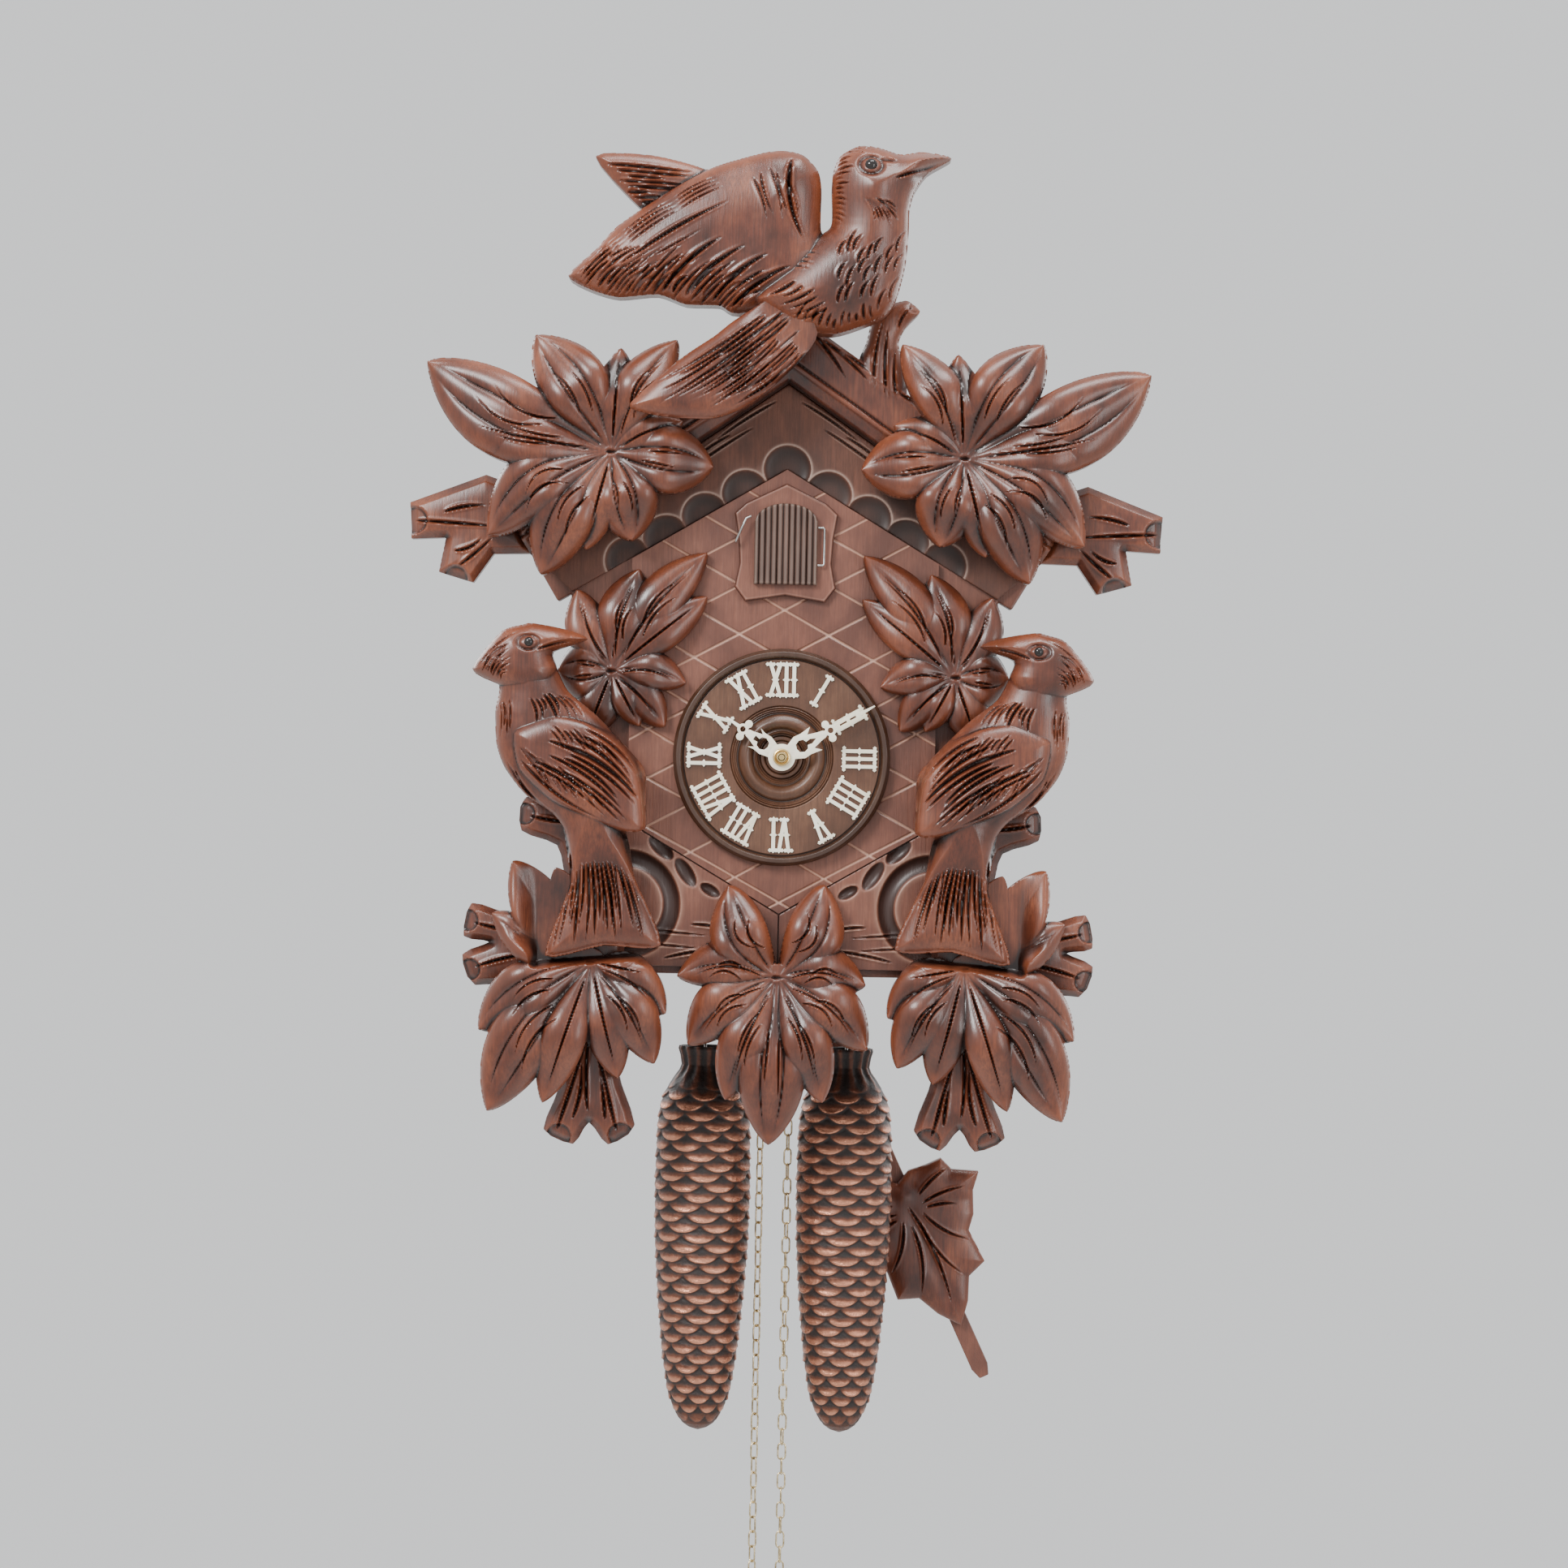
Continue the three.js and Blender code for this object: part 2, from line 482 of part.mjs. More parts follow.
function addMovement() {
  const arbors = [[0, 0], [-CHAIN_X, CHAIN_Z], [CHAIN_X, CHAIN_Z], PIN_WHEEL, ESCAPE];
  const bores = (yBack, yFront) => [...arbors, [0, LEADER_PIVOT], HAMMER].map(([x, z]) =>
    rodY(x, z, ARBOR + 0.4, yBack, yFront, 12));
  const corners = [[-54, -60], [54, -60], [-54, 44], [54, 44]];
  const plate = (yBack, yFront) => box(-60, 60, yBack, yFront, -66, 50);
  const inner = PLATE_FRONT + 2;
  addPiece("movement_front_plate", cut(
    join(plate(inner, PLATE_FRONT),
      ...corners.map(([x, z]) => rodY(x, z, 3.5, PLATE_FRONT + 1, CASE_FRONT + GAP, 8))),
    ...bores(inner + 1, PLATE_FRONT - 1)), "brass");
  addPiece("movement_back_plate", cut(
    join(plate(PLATE_BACK, PLATE_BACK - 2),
      ...corners.map(([x, z]) => rodY(x, z, 3, PLATE_BACK - 1, inner + GAP, 8))),
    ...bores(PLATE_BACK + 1, PLATE_BACK - 3)), "brass");

  const through = ([x, z]) => rodY(x, z, ARBOR, PLATE_BACK + 1, PLATE_FRONT - 1);
  for (const [train, side, wheelY] of [["going", 1, -63], ["strike", -1, -88]]) {
    const at = [side * CHAIN_X, CHAIN_Z];
    addPiece(`${train}_chain_wheel`, join(
      through(at),
      slab(gearOutline(at, 60, 1, 0), wheelY, wheelY - 2),
      rodY(at[0], at[1], SPROCKET_PITCH - CHAIN_R - 0.6, TRAIN_Y + 2.5, TRAIN_Y - 2.5, 18)),
    "brass");
  }
  // Each pinion starts with a gap between teeth on the line to its great wheel.
  const meshPhase = (pinion, wheel, teeth) => {
    const toWheel = Math.atan2(wheel[1] - pinion[1], wheel[0] - pinion[0]);
    const back = toWheel + Math.PI;
    const wheelTooth = (((back / (2 * Math.PI)) * 60) % 1 + 1) % 1;
    return (toWheel / (2 * Math.PI)) * teeth + 0.5 + wheelTooth;
  };
  const pinionOn = (at, wheel, y) => slab(
    gearOutline(at, 12, 1, meshPhase(at, wheel, 12)), y + 0.5, y - 2.5);
  addPiece("centre_wheel", join(
    rodY(0, 0, ARBOR, PLATE_BACK + 1, -159.5),
    pinionOn([0, 0], [CHAIN_X, CHAIN_Z], -63),
    slab(gearOutline([0, 0], 36, 1, 0), -92, -94)), "brass");
  addPiece("strike_pin_wheel", join(
    through(PIN_WHEEL),
    pinionOn(PIN_WHEEL, [-CHAIN_X, CHAIN_Z], -88),
    rodY(PIN_WHEEL[0], PIN_WHEEL[1], 10, -58, -60, 16),
    ...[0, 1, 2, 3, 4, 5].map((i) => {
      const angle = (i / 6) * 2 * Math.PI;
      return rodY(PIN_WHEEL[0] + 8 * Math.cos(angle), PIN_WHEEL[1] + 8 * Math.sin(angle),
        0.8, -59, -64, 6);
    })), "brass");
  const escapeTeeth = [];
  for (let i = 0; i < 24; i += 1) {
    const angle = (i / 24) * 2 * Math.PI + (i % 2 ? 0.1 : 0);
    const r = i % 2 ? 6.5 : 8.6;
    escapeTeeth.push([ESCAPE[0] + r * Math.cos(angle), ESCAPE[1] + r * Math.sin(angle)]);
  }
  addPiece("escape_wheel", join(through(ESCAPE), slab(escapeTeeth, -58, -60)), "brass");
  addPiece("verge", join(
    rodY(0, LEADER_PIVOT, 1.3, LEADER_Y - 1.5 - GAP, -66),
    slab([[-14.5, 22], [-13, 22], [-9, 37.6], [0, 38.6], [9, 37.6], [13, 22], [14.5, 22],
      [11, 41], [0, 42.5], [-11, 41]], -58, -60)), "steel");

  const tube = turnedY([[2.2, -103.5], [2.2, -152.8], [4, -152.8], [4, -105.5], [12, -105.5],
    [12, -103.5], [2.2, -103.5]], 20);
  addPiece("hour_wheel", tube, "brass");
}

// ---------- pendulum ----------
function addPendulum() {
  const y = PENDULUM_Y;
  addPiece("pendulum_leader", join(
    rodY(0, LEADER_PIVOT, 3, LEADER_Y + 1.5, LEADER_Y - 1.5, 10),
    wire([0, LEADER_Y, LEADER_PIVOT], [0, LEADER_Y, HANG_Z - 1], 1),
    rodY(0, HANG_Z, 1.1, LEADER_Y + 1, y - 4, 8)), "steel");

  const swing = new THREE.Group();
  swing.position.set(0, 0, HANG_Z);
  swing.rotation.y = THREE.MathUtils.degToRad(-PENDULUM_ANGLE);
  clock.add(swing);
  const rod = slab([[-4.75, -7], [4.75, -7], [4.75, -ROD_END + 6], [2.6, -ROD_END],
    [-2.6, -ROD_END], [-4.75, -ROD_END + 6]], y + 2, y - 2);
  const eye = cut(rodY(0, 0, 4.4, y - 2.5, y + 2.5, 12), rodY(0, 0, 1.7, y - 4, y + 4, 12));
  const neck = box(-1.6, 1.6, y - 1.5, y + 1.5, -9, -3.4);
  addPiece("pendulum_rod", join(rod, eye, neck), "carved", swing);

  const below = (x, down) => [x, -BOB_DOWN - down];
  const bob = bothHalves([
    below(0, -6), below(8, -10), below(18, -9), below(27, -9), below(30, -1), below(43, 6),
    below(36, 14), below(31, 26), below(25, 33), below(26, 52), below(15, 56),
    below(9, 68), below(0, 79),
  ]);
  addPiece("pendulum_bob", slab(bob, y - 2 - GAP, y - 12), "carved", swing);
}

// ---------- cuckoo, whistles and gong ----------
function ellipsoid(radii, centre) {
  const geometry = new THREE.SphereGeometry(1, 14, 9);
  geometry.scale(...radii);
  geometry.translate(...centre);
  return geometry;
}

function addSounders() {
  addPiece("cuckoo_rail", box(-4, 4, -56, CASE_FRONT + GAP, 89.5, 93), "case");
  const beak = new THREE.ConeGeometry(1.8, 6, 8);
  beak.rotateX(Math.PI);
  beak.translate(0, -119.5, 112);
  addPiece("cuckoo_bird", join(
    box(-5, 5, -113, -60, 93.4, 95.4),
    rodZ(0, -103, 1.2, 95, 102, 8),
    ellipsoid([5.6, 13, 6], [0, -102, 106]),
    ellipsoid([4.4, 5, 4.6], [0, -113.5, 111]),
    beak), "carved");

  for (const side of [-1, 1]) {
    const hand = side < 0 ? "left" : "right";
    const x0 = side < 0 ? -94 : 72;
    const pipe = box(x0, x0 + 22, -50, -20, -70, 50);
    const bore = box(x0 + 3, x0 + 19, -47, -23, -71, 44);
    const mouthX = side < 0 ? x0 + 18 : x0 - 1;
    const mouth = box(mouthX, mouthX + 5, -44, -26, 30, 38);
    addPiece(`whistle_${hand}`, cut(pipe, bore, mouth), "case");
    addPiece(`bellows_${hand}`, box(x0, x0 + 22, -54, -18, 50 + GAP, 57), "leather");
  }

  const spiral = [];
  const turns = 2.5;
  for (let step = 0; step <= 40; step += 1) {
    const t = step / 40;
    const angle = Math.PI + t * turns * 2 * Math.PI;
    const radius = 13 + 21 * t;
    spiral.push(new THREE.Vector3(radius * Math.cos(angle), -14, radius * Math.sin(angle)));
  }
  spiral.push(new THREE.Vector3(35, -14, 22), new THREE.Vector3(35, -14, 68));
  const path = new THREE.CatmullRomCurve3(spiral);
  const section = new THREE.Shape();
  section.absarc(0, 0, 1.1, 0, 2 * Math.PI);
  const coil = new THREE.ExtrudeGeometry(section, {
    steps: 76, bevelEnabled: false, extrudePath: path, curveSegments: 3,
  });
  addPiece("gong_coil", join(coil, box(28, 42, -20, -BOARD - GAP, 64, 80)), "steel");

  const pivot = HAMMER;
  addPiece("gong_hammer", join(
    rodY(pivot[0], pivot[1], 1.3, -12, PLATE_BACK + GAP),
    wire([pivot[0], -14, pivot[1]], [44, -14, -4], 1),
    wire([38.5, -14, -4], [48, -14, -4], 3.2, 10)), "steel");
}

addCase();
addFront();
addCarvings();
addDoor();
addDial();
addWeights();
addMovement();
addPendulum();
addSounders();

export default clock;
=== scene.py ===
"""Carved cuckoo clock: the looks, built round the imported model.

Shapes are worked out in millimetres, with z measured from the middle of the dial as in the
CAD source, and are turned into metres when a mesh is made.
"""
import math

import bmesh
import bpy
import numpy as np
from mathutils import Matrix, Vector
from mathutils.geometry import delaunay_2d_cdt


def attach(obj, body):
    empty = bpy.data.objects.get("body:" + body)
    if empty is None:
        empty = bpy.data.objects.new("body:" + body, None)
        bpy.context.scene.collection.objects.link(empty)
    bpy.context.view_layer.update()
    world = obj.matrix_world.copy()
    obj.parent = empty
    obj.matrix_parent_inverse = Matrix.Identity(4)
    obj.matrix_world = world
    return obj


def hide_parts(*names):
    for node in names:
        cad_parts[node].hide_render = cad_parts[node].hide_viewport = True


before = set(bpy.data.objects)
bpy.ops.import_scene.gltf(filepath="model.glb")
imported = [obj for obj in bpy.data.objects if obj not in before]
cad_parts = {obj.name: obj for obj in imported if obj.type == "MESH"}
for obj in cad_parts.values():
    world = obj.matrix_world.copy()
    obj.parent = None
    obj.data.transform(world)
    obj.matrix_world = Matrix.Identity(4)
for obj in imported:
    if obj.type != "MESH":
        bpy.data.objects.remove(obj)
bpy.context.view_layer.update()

HOOK_ABOVE_DIAL = 140.0
rng = np.random.default_rng(7)

# ---------- layers, as in the CAD ----------
FRONT_FACE = -138.0
LATTICE_FRONT = -142.0
CROWN_BACK = -138.3
UPPER_BACK = -154.3
BIRD_TAIL_BACK = -179.3
LOW_BACK = -142.3
SIDE_BIRD_BACK = -158.3
LOWER_LEAF_BACK = -152.3
TRAIN_Y = -78.0
CHAIN_X, SPROCKET_PITCH = 22.65, 15.25
HANG_Z, PENDULUM_Y, PENDULUM_ANGLE = -86.0, -32.0, 25.2
BOB_DOWN = 165.7
LINK_PITCH, LINK_WIRE, LINK_WIDTH = 7.9, 0.95, 5.0
CHAIN_END = -440.0
HOUR_ANGLE, MINUTE_ANGLE = -55.0, 60.0


# ---------- camera ----------
def add_camera():
    data = bpy.data.cameras.new("camera")
    data.lens = 97.6
    data.sensor_width = 36.0
    data.clip_end = 50.0
    camera = bpy.data.objects.new("camera", data)
    camera.location = (0.0015, -2.36, -0.1538)
    camera.rotation_euler = (math.radians(90), math.radians(-1.15), 0)
    bpy.context.collection.objects.link(camera)
    bpy.context.scene.camera = camera


add_camera()


# ---------- node materials ----------
def new_material(name):
    material = bpy.data.materials.new(name)
    material.use_nodes = True
    tree = material.node_tree
    return material, tree, tree.nodes["Principled BSDF"]


def feed(tree, node, inputs):
    """Sets each named input to a plain value, or links it to another node's output."""
    for key, value in inputs.items():
        if isinstance(value, (int, float, tuple)):
            node.inputs[key].default_value = value
        else:
            tree.links.new(value, node.inputs[key])


def ramp(tree, factor, stops):
    node = tree.nodes.new("ShaderNodeValToRGB")
    elements = node.color_ramp.elements
    while len(elements) < len(stops):
        elements.new(0.5)
    for element, (place, colour) in zip(elements, stops):
        element.position = place
        element.color = (*colour, 1)
    feed(tree, node, {"Fac": factor})
    return node.outputs["Color"]


def mix(tree, factor, a, b):
    node = tree.nodes.new("ShaderNodeMix")
    node.data_type = "RGBA"
    b = (*b, 1) if isinstance(b, tuple) else b
    feed(tree, node, {"Factor": factor, "A": a, "B": b})
    return node.outputs["Result"]


def noise(tree, scale, stretch=(1, 1, 1), detail=4.0, rough=0.55):
    coords = tree.nodes.new("ShaderNodeTexCoord")
    mapping = tree.nodes.new("ShaderNodeMapping")
    feed(tree, mapping, {"Scale": stretch, "Vector": coords.outputs["Object"]})
    node = tree.nodes.new("ShaderNodeTexNoise")
    feed(tree, node, {"Scale": scale, "Detail": detail, "Roughness": rough,
                      "Vector": mapping.outputs["Vector"]})
    return node.outputs["Fac"]


def map_range(tree, value, low, high, to_low, to_high):
    node = tree.nodes.new("ShaderNodeMapRange")
    feed(tree, node, {"Value": value, "From Min": low, "From Max": high, "To Min": to_low,
                      "To Max": to_high})
    return node.outputs["Result"]


def bump(tree, height, distance):
    node = tree.nodes.new("ShaderNodeBump")
    feed(tree, node, {"Height": height, "Distance": distance, "Strength": 1.0})
    return node.outputs["Normal"]


def carved_height(tree):
    """The relief that each carved mesh carries: negative in hollows, positive on ridges."""
    node = tree.nodes.new("ShaderNodeAttribute")
    node.attribute_name = "relief"
    return node.outputs["Fac"]


def wood(name, deep, mid, light, gloss, pores=0.00012, worn=0.35, fresh=None, coat=0.22):
    """Stained wood: fine upright grain, cloudy staining, worn high places, and recesses
    darkened by painted shade over the dark glaze that gathers there.
    """
    material, tree, shader = new_material(name)
    cloud = noise(tree, 34, (1, 1, 0.6), 5, 0.62)
    fibre = noise(tree, 900, (1, 1, 0.06), 3, 0.65)
    colour = ramp(tree, cloud, [(0.34, deep), (0.5, mid), (0.66, light)])
    streaks = map_range(tree, fibre, 0.35, 0.7, 0.0, 0.6)
    colour = mix(tree, streaks, colour, deep)
    relief = carved_height(tree)
    # Negative relief darkens the colour towards a quarter of the deep tone: painted shade in
    # hollows and recesses, over their dark glaze.
    painted_hollow_shade = map_range(tree, relief, -0.02, -0.75, 0.0, 0.93)
    colour = mix(tree, painted_hollow_shade, colour, tuple(0.25 * c for c in deep))
    high = map_range(tree, relief, 0.12, 1.0, 0.0, worn)
    colour = mix(tree, high, colour, fresh or tuple(min(1.0, 1.4 * c) for c in light))
    feed(tree, shader, {
        "Base Color": colour,
        "Roughness": map_range(tree, cloud, 0.3, 0.7, gloss - 0.08, gloss + 0.1),
        "Specular IOR Level": 0.5, "Coat Weight": coat, "Coat Roughness": 0.27,
        "Normal": bump(tree, fibre, pores)})
    return material


def metal(name, colour, dark, roughness, scale=160):
    material, tree, shader = new_material(name)
    patch = noise(tree, scale, (1, 1, 1), 4)
    scratches = noise(tree, 1500, (1, 0.1, 1), 2)
    feed(tree, shader, {
        "Base Color": ramp(tree, patch, [(0.35, dark), (0.62, colour)]), "Metallic": 1.0,
        "Roughness": map_range(tree, patch, 0.3, 0.75, roughness + 0.175, roughness),
        "Normal": bump(tree, scratches, 0.00004)})
    return material


CARVED = wood("carved_linden", (0.030, 0.0080, 0.0045), (0.108, 0.0245, 0.0100),
              (0.205, 0.056, 0.023), 0.34, coat=0.35)
PANEL = wood("panel_linden", (0.100, 0.033, 0.020), (0.172, 0.058, 0.034),
             (0.240, 0.090, 0.054), 0.46, pores=0.0002, worn=0.95, fresh=(0.50, 0.29, 0.21))
SCOOP = wood("scooped_linden", (0.050, 0.017, 0.009), (0.105, 0.034, 0.018),
             (0.165, 0.058, 0.032), 0.55, worn=0.9, fresh=(0.36, 0.24, 0.19), coat=0.05)
CASE = wood("case_linden", (0.042, 0.017, 0.010), (0.082, 0.034, 0.020),
            (0.125, 0.054, 0.033), 0.52, pores=0.0002)
DOOR = wood("door_linden", (0.040, 0.018, 0.012), (0.080, 0.038, 0.026),
            (0.120, 0.060, 0.042), 0.48, pores=0.0002, worn=0.7, fresh=(0.26, 0.18, 0.14))
DIAL = wood("dial_walnut", (0.055, 0.021, 0.0095), (0.098, 0.038, 0.0175),
            (0.148, 0.066, 0.034), 0.40, pores=0.00018)
BRASS = metal("brass", (0.72, 0.53, 0.25), (0.58, 0.41, 0.18), 0.26, 70)
CHAIN_BRASS = metal("chain_brass", (0.80, 0.66, 0.40), (0.35, 0.26, 0.14), 0.22, 400)
STEEL = metal("steel", (0.52, 0.51, 0.49), (0.25, 0.24, 0.23), 0.3)


def ivory():
    material, tree, shader = new_material("ivory_plastic")
    cloud = noise(tree, 60, (1, 1, 1), 3)
    feed(tree, shader, {
        "Base Color": ramp(tree, cloud, [(0.3, (0.80, 0.73, 0.55)),
                                         (0.7, (0.90, 0.86, 0.74))]),
        "Roughness": 0.32, "Subsurface Weight": 0.08, "Subsurface Scale": 0.002,
        "Normal": bump(tree, noise(tree, 500), 0.00003)})
    return material


def cone_bronze():
    """Bronzed cast iron, dark in the hollows and rubbed to copper on the scale tips, pushed
    further into painted shade in the gaps and painted highlights on the scale lips.
    """
    material, tree, shader = new_material("bronzed_iron")
    patch = noise(tree, 260, (1, 1, 1), 5, 0.7)
    mottled = tree.nodes.new("ShaderNodeMath")
    mottled.operation = "MULTIPLY_ADD"
    tree.links.new(patch, mottled.inputs[0])
    mottled.inputs[1].default_value = 0.5
    tree.links.new(carved_height(tree), mottled.inputs[2])
    height = mottled.outputs[0]
    feed(tree, shader, {
        "Base Color": ramp(tree, height, [
            (0.15, (0.008, 0.007, 0.007)), (0.42, (0.036, 0.020, 0.016)),
            (0.70, (0.17, 0.062, 0.036)), (0.97, (0.60, 0.27, 0.17))]),
        "Metallic": map_range(tree, height, 0.3, 0.95, 0.15, 0.85),
        "Roughness": map_range(tree, height, 0.3, 1.0, 0.5, 0.24),
        "Normal": bump(tree, patch, 0.0007)})
    return material


def leather():
    material, tree, shader = new_material("kid_leather")
    cell = tree.nodes.new("ShaderNodeTexVoronoi")
    coords = tree.nodes.new("ShaderNodeTexCoord")
    feed(tree, cell, {"Scale": 900, "Vector": coords.outputs["Object"]})
    cloud = noise(tree, 50)
    feed(tree, shader, {
        "Base Color": ramp(tree, cloud, [(0.3, (0.20, 0.12, 0.07)),
                                         (0.7, (0.34, 0.23, 0.15))]),
        "Roughness": 0.72, "Normal": bump(tree, cell.outputs["Distance"], 0.0002)})
    return material


def bead_glass():
    material, tree, shader = new_material("bead_black")
    feed(tree, shader, {
        "Base Color": ramp(tree, noise(tree, 300), [(0.3, (0.006, 0.005, 0.005)),
                                                    (0.7, (0.02, 0.016, 0.014))]),
        "Roughness": 0.08})
    return material


IVORY, BRONZE, LEATHER, BEAD = ivory(), cone_bronze(), leather(), bead_glass()


# ---------- meshes ----------
def to_metres(points):
    p = np.asarray(points, float).reshape(-1, 3) * 0.001
    p[:, 2] -= HOOK_ABOVE_DIAL * 0.001
    return p


def dress(mesh, material):
    mesh.materials.clear()
    mesh.materials.append(material)


def shade_smooth(mesh, sharp):
    """Smooth shading, with crisp edges where faces meet at more than so many degrees."""
    mesh.polygons.foreach_set("use_smooth", [True] * len(mesh.polygons))
    mesh.set_sharp_from_angle(angle=math.radians(sharp))


def place(obj, body, slot, nodes=()):
    """Puts a piece in the scene and tells the frame what it is part of."""
    bpy.context.collection.objects.link(obj)
    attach(obj, body)
    if nodes:
        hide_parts(*nodes)
    return obj


def add_mesh(name, points, faces, material, body, slot, nodes=(), relief=None, sharp=40):
    mesh = bpy.data.meshes.new(name)
    mesh.from_pydata(to_metres(points).tolist(), [], faces)
    mesh.validate()
    if relief is not None:
        layer = mesh.attributes.new("relief", "FLOAT", "POINT")
        layer.data.foreach_set("value", np.asarray(relief, np.float32))
    dress(mesh, material)
    shade_smooth(mesh, sharp)
    return place(bpy.data.objects.new(name, mesh), body, slot, nodes)


def face_outwards(obj):
    bm = bmesh.new()
    bm.from_mesh(obj.data)
    bmesh.ops.recalc_face_normals(bm, faces=bm.faces[:])
    bm.to_mesh(obj.data)
    bm.free()


def drain(bm):
    """The points and faces of a bmesh, which is then freed."""
    bm.verts.index_update()
    points = [tuple(v.co) for v in bm.verts]
    faces = [[v.index for v in f.verts] for f in bm.faces]
    bm.free()
    return points, faces


def ring_faces(rings, sides, closed):
    """Quads between each ring of points and the next, and from last to first if closed."""
    faces = []
    for i in range(rings if closed else rings - 1):
        j = (i + 1) % rings
        for k in range(sides):
            m = (k + 1) % sides
            faces.append([i * sides + k, i * sides + m, j * sides + m, j * sides + k])
    return faces


def turn(points, angle):
    """Turns an array of [x, y, z] points clockwise about the y axis, seen from the front."""
    x, z = points[:, 0].copy(), points[:, 2].copy()
    c, s = math.cos(angle), math.sin(angle)
    points[:, 0] = x * c + z * s
    points[:, 2] = -x * s + z * c


def tube_points(path, radius, sides=8, closed=False):
    """Points and faces of a round wire along a path of [x, y, z] points."""
    path = np.asarray(path, float)
    n = len(path)
    if closed:
        tangent = np.roll(path, -1, 0) - np.roll(path, 1, 0)
    else:
        tangent = np.gradient(path, axis=0)
    tangent /= np.linalg.norm(tangent, axis=1)[:, None]
    side = np.array([0.0, 1.0, 0.0])
    if abs(tangent[0] @ side) > 0.9:
        side = np.array([1.0, 0.0, 0.0])
    points = []
    for p, t in zip(path, tangent):
        side = side - t * (side @ t)
        side /= np.linalg.norm(side)
        up = np.cross(t, side)
        for k in range(sides):
            a = 2 * math.pi * k / sides
            points.append(p + radius * (math.cos(a) * side + math.sin(a) * up))
    faces = ring_faces(n, sides, closed)
    if not closed:
        faces.append(list(range(sides))[::-1])
        faces.append([(n - 1) * sides + k for k in range(sides)])
    return points, faces


def merge(parts):
    points, faces = [], []
    for p, f in parts:
        base = len(points)
        points.extend([list(q) for q in p])
        faces.extend([[base + i for i in face] for face in f])
    return points, faces


# ---------- the carving engine ----------
LIP = 0.25          # height of the burr beside a groove, as a share of the groove's depth
UNEVEN = 0.2        # how much hand-cut strokes vary
LOBE_STEEP = 3.2    # fall of a height field outside its outline
FULLNESS = 1.25     # width of a leaf lobe, as in the CAD


def field(x0, x1, z0, z1, step):
    """A grid over the front plane, on which heights are worked out."""
    xs = np.arange(x0, x1 + step, step)
    zs = np.arange(z0, z1 + step, step)
    X, Z = np.meshgrid(xs, zs, indexing="ij")
    return xs, zs, X, Z


def smoothstep(low, high, value):
    t = np.clip((value - low) / (high - low), 0, 1)
    return t * t * (3 - 2 * t)


def blur(values, radius):
    """A running mean along both axes."""
    out = values
    for axis in (0, 1):
        pad = [(0, 0), (0, 0)]
        pad[axis] = (radius + 1, radius)
        total = np.cumsum(np.pad(out, pad, mode="edge"), axis=axis)
        n = values.shape[axis]
        take = lambda start: np.take(total, np.arange(start, start + n), axis=axis)
        out = (take(2 * radius + 1) - take(0)) / (2 * radius + 1)
    return out


def curved(points, steps=4):
    """A closed outline through its points, rounded between them."""
    p = np.asarray(points, float)
    out = []
    n = len(p)
    for i in range(n):
        a, b, c, d = p[i - 1], p[i], p[(i + 1) % n], p[(i + 2) % n]
        for s in range(steps):
            t = s / steps
            m1, m2 = (c - a) * 0.35, (d - b) * 0.35
            h = t * t
            k = h * t
            out.append((2 * k - 3 * h + 1) * b + (k - 2 * h + t) * m1
                       + (3 * h - 2 * k) * c + (k - h) * m2)
    return np.array(out)


def depth_in(X, Z, outline):
    """How far each point lies inside an outline, negative outside."""
    best = np.full(X.shape, 1e9)
    inside = np.zeros(X.shape, bool)
    for (ax, az), (bx, bz) in zip(outline, np.roll(outline, -1, 0)):
        ex, ez = bx - ax, bz - az
        wx, wz = X - ax, Z - az
        t = np.clip((wx * ex + wz * ez) / (ex * ex + ez * ez + 1e-12), 0, 1)
        best = np.minimum(best, (wx - t * ex) ** 2 + (wz - t * ez) ** 2)
        if az != bz:
            inside ^= ((az > Z) != (bz > Z)) & (X < (bx - ax) * (Z - az) / (bz - az) + ax)
    best = np.sqrt(best)
    return np.where(inside, best, -best)


def gouge(H, X, Z, start, end, width, depth, bend=0.0):
    """Cuts one tapered V groove, with the small raised lip that a gouge leaves beside it."""
    sx, sz = start
    ex, ez = end
    length = math.hypot(ex - sx, ez - sz)
    if length < 1e-6:
        return
    ax, az = (ex - sx) / length, (ez - sz) / length
    reach = width * 2.2 + abs(bend) + 1
    lo_x, hi_x = min(sx, ex) - reach, max(sx, ex) + reach
    lo_z, hi_z = min(sz, ez) - reach, max(sz, ez) + reach
    rows = np.nonzero((X[:, 0] >= lo_x) & (X[:, 0] <= hi_x))[0]
    cols = np.nonzero((Z[0] >= lo_z) & (Z[0] <= hi_z))[0]
    if len(rows) == 0 or len(cols) == 0:
        return
    box = (slice(rows[0], rows[-1] + 1), slice(cols[0], cols[-1] + 1))
    x, z = X[box], Z[box]
    t = ((x - sx) * ax + (z - sz) * az) / length
    off = -(x - sx) * az + (z - sz) * ax - bend * 4 * t * (1 - t)
    live = (t > 0) & (t < 1)
    taper = np.where(live, np.sin(np.pi * np.clip(t, 0, 1) ** 0.7) ** 0.7, 0)
    half = np.maximum(width * (0.35 + 0.65 * taper) * 0.5, 1e-3)
    d = np.abs(off)
    cut = np.clip(1 - d / half, 0, 1) * depth * taper
    lip = np.exp(-((d - half * 1.35) / (half * 0.6)) ** 2) * depth * LIP * taper
    H[box] += np.where(live, lip - cut, 0)


def along(line, t):
    """The point a share t of the way along a line of points."""
    line = np.asarray(line, float)
    gaps = np.linalg.norm(np.diff(line, axis=0), axis=1)
    places = np.concatenate([[0], np.cumsum(gaps)]) / max(gaps.sum(), 1e-9)
    return np.array([np.interp(t, places, line[:, 0]), np.interp(t, places, line[:, 1])])


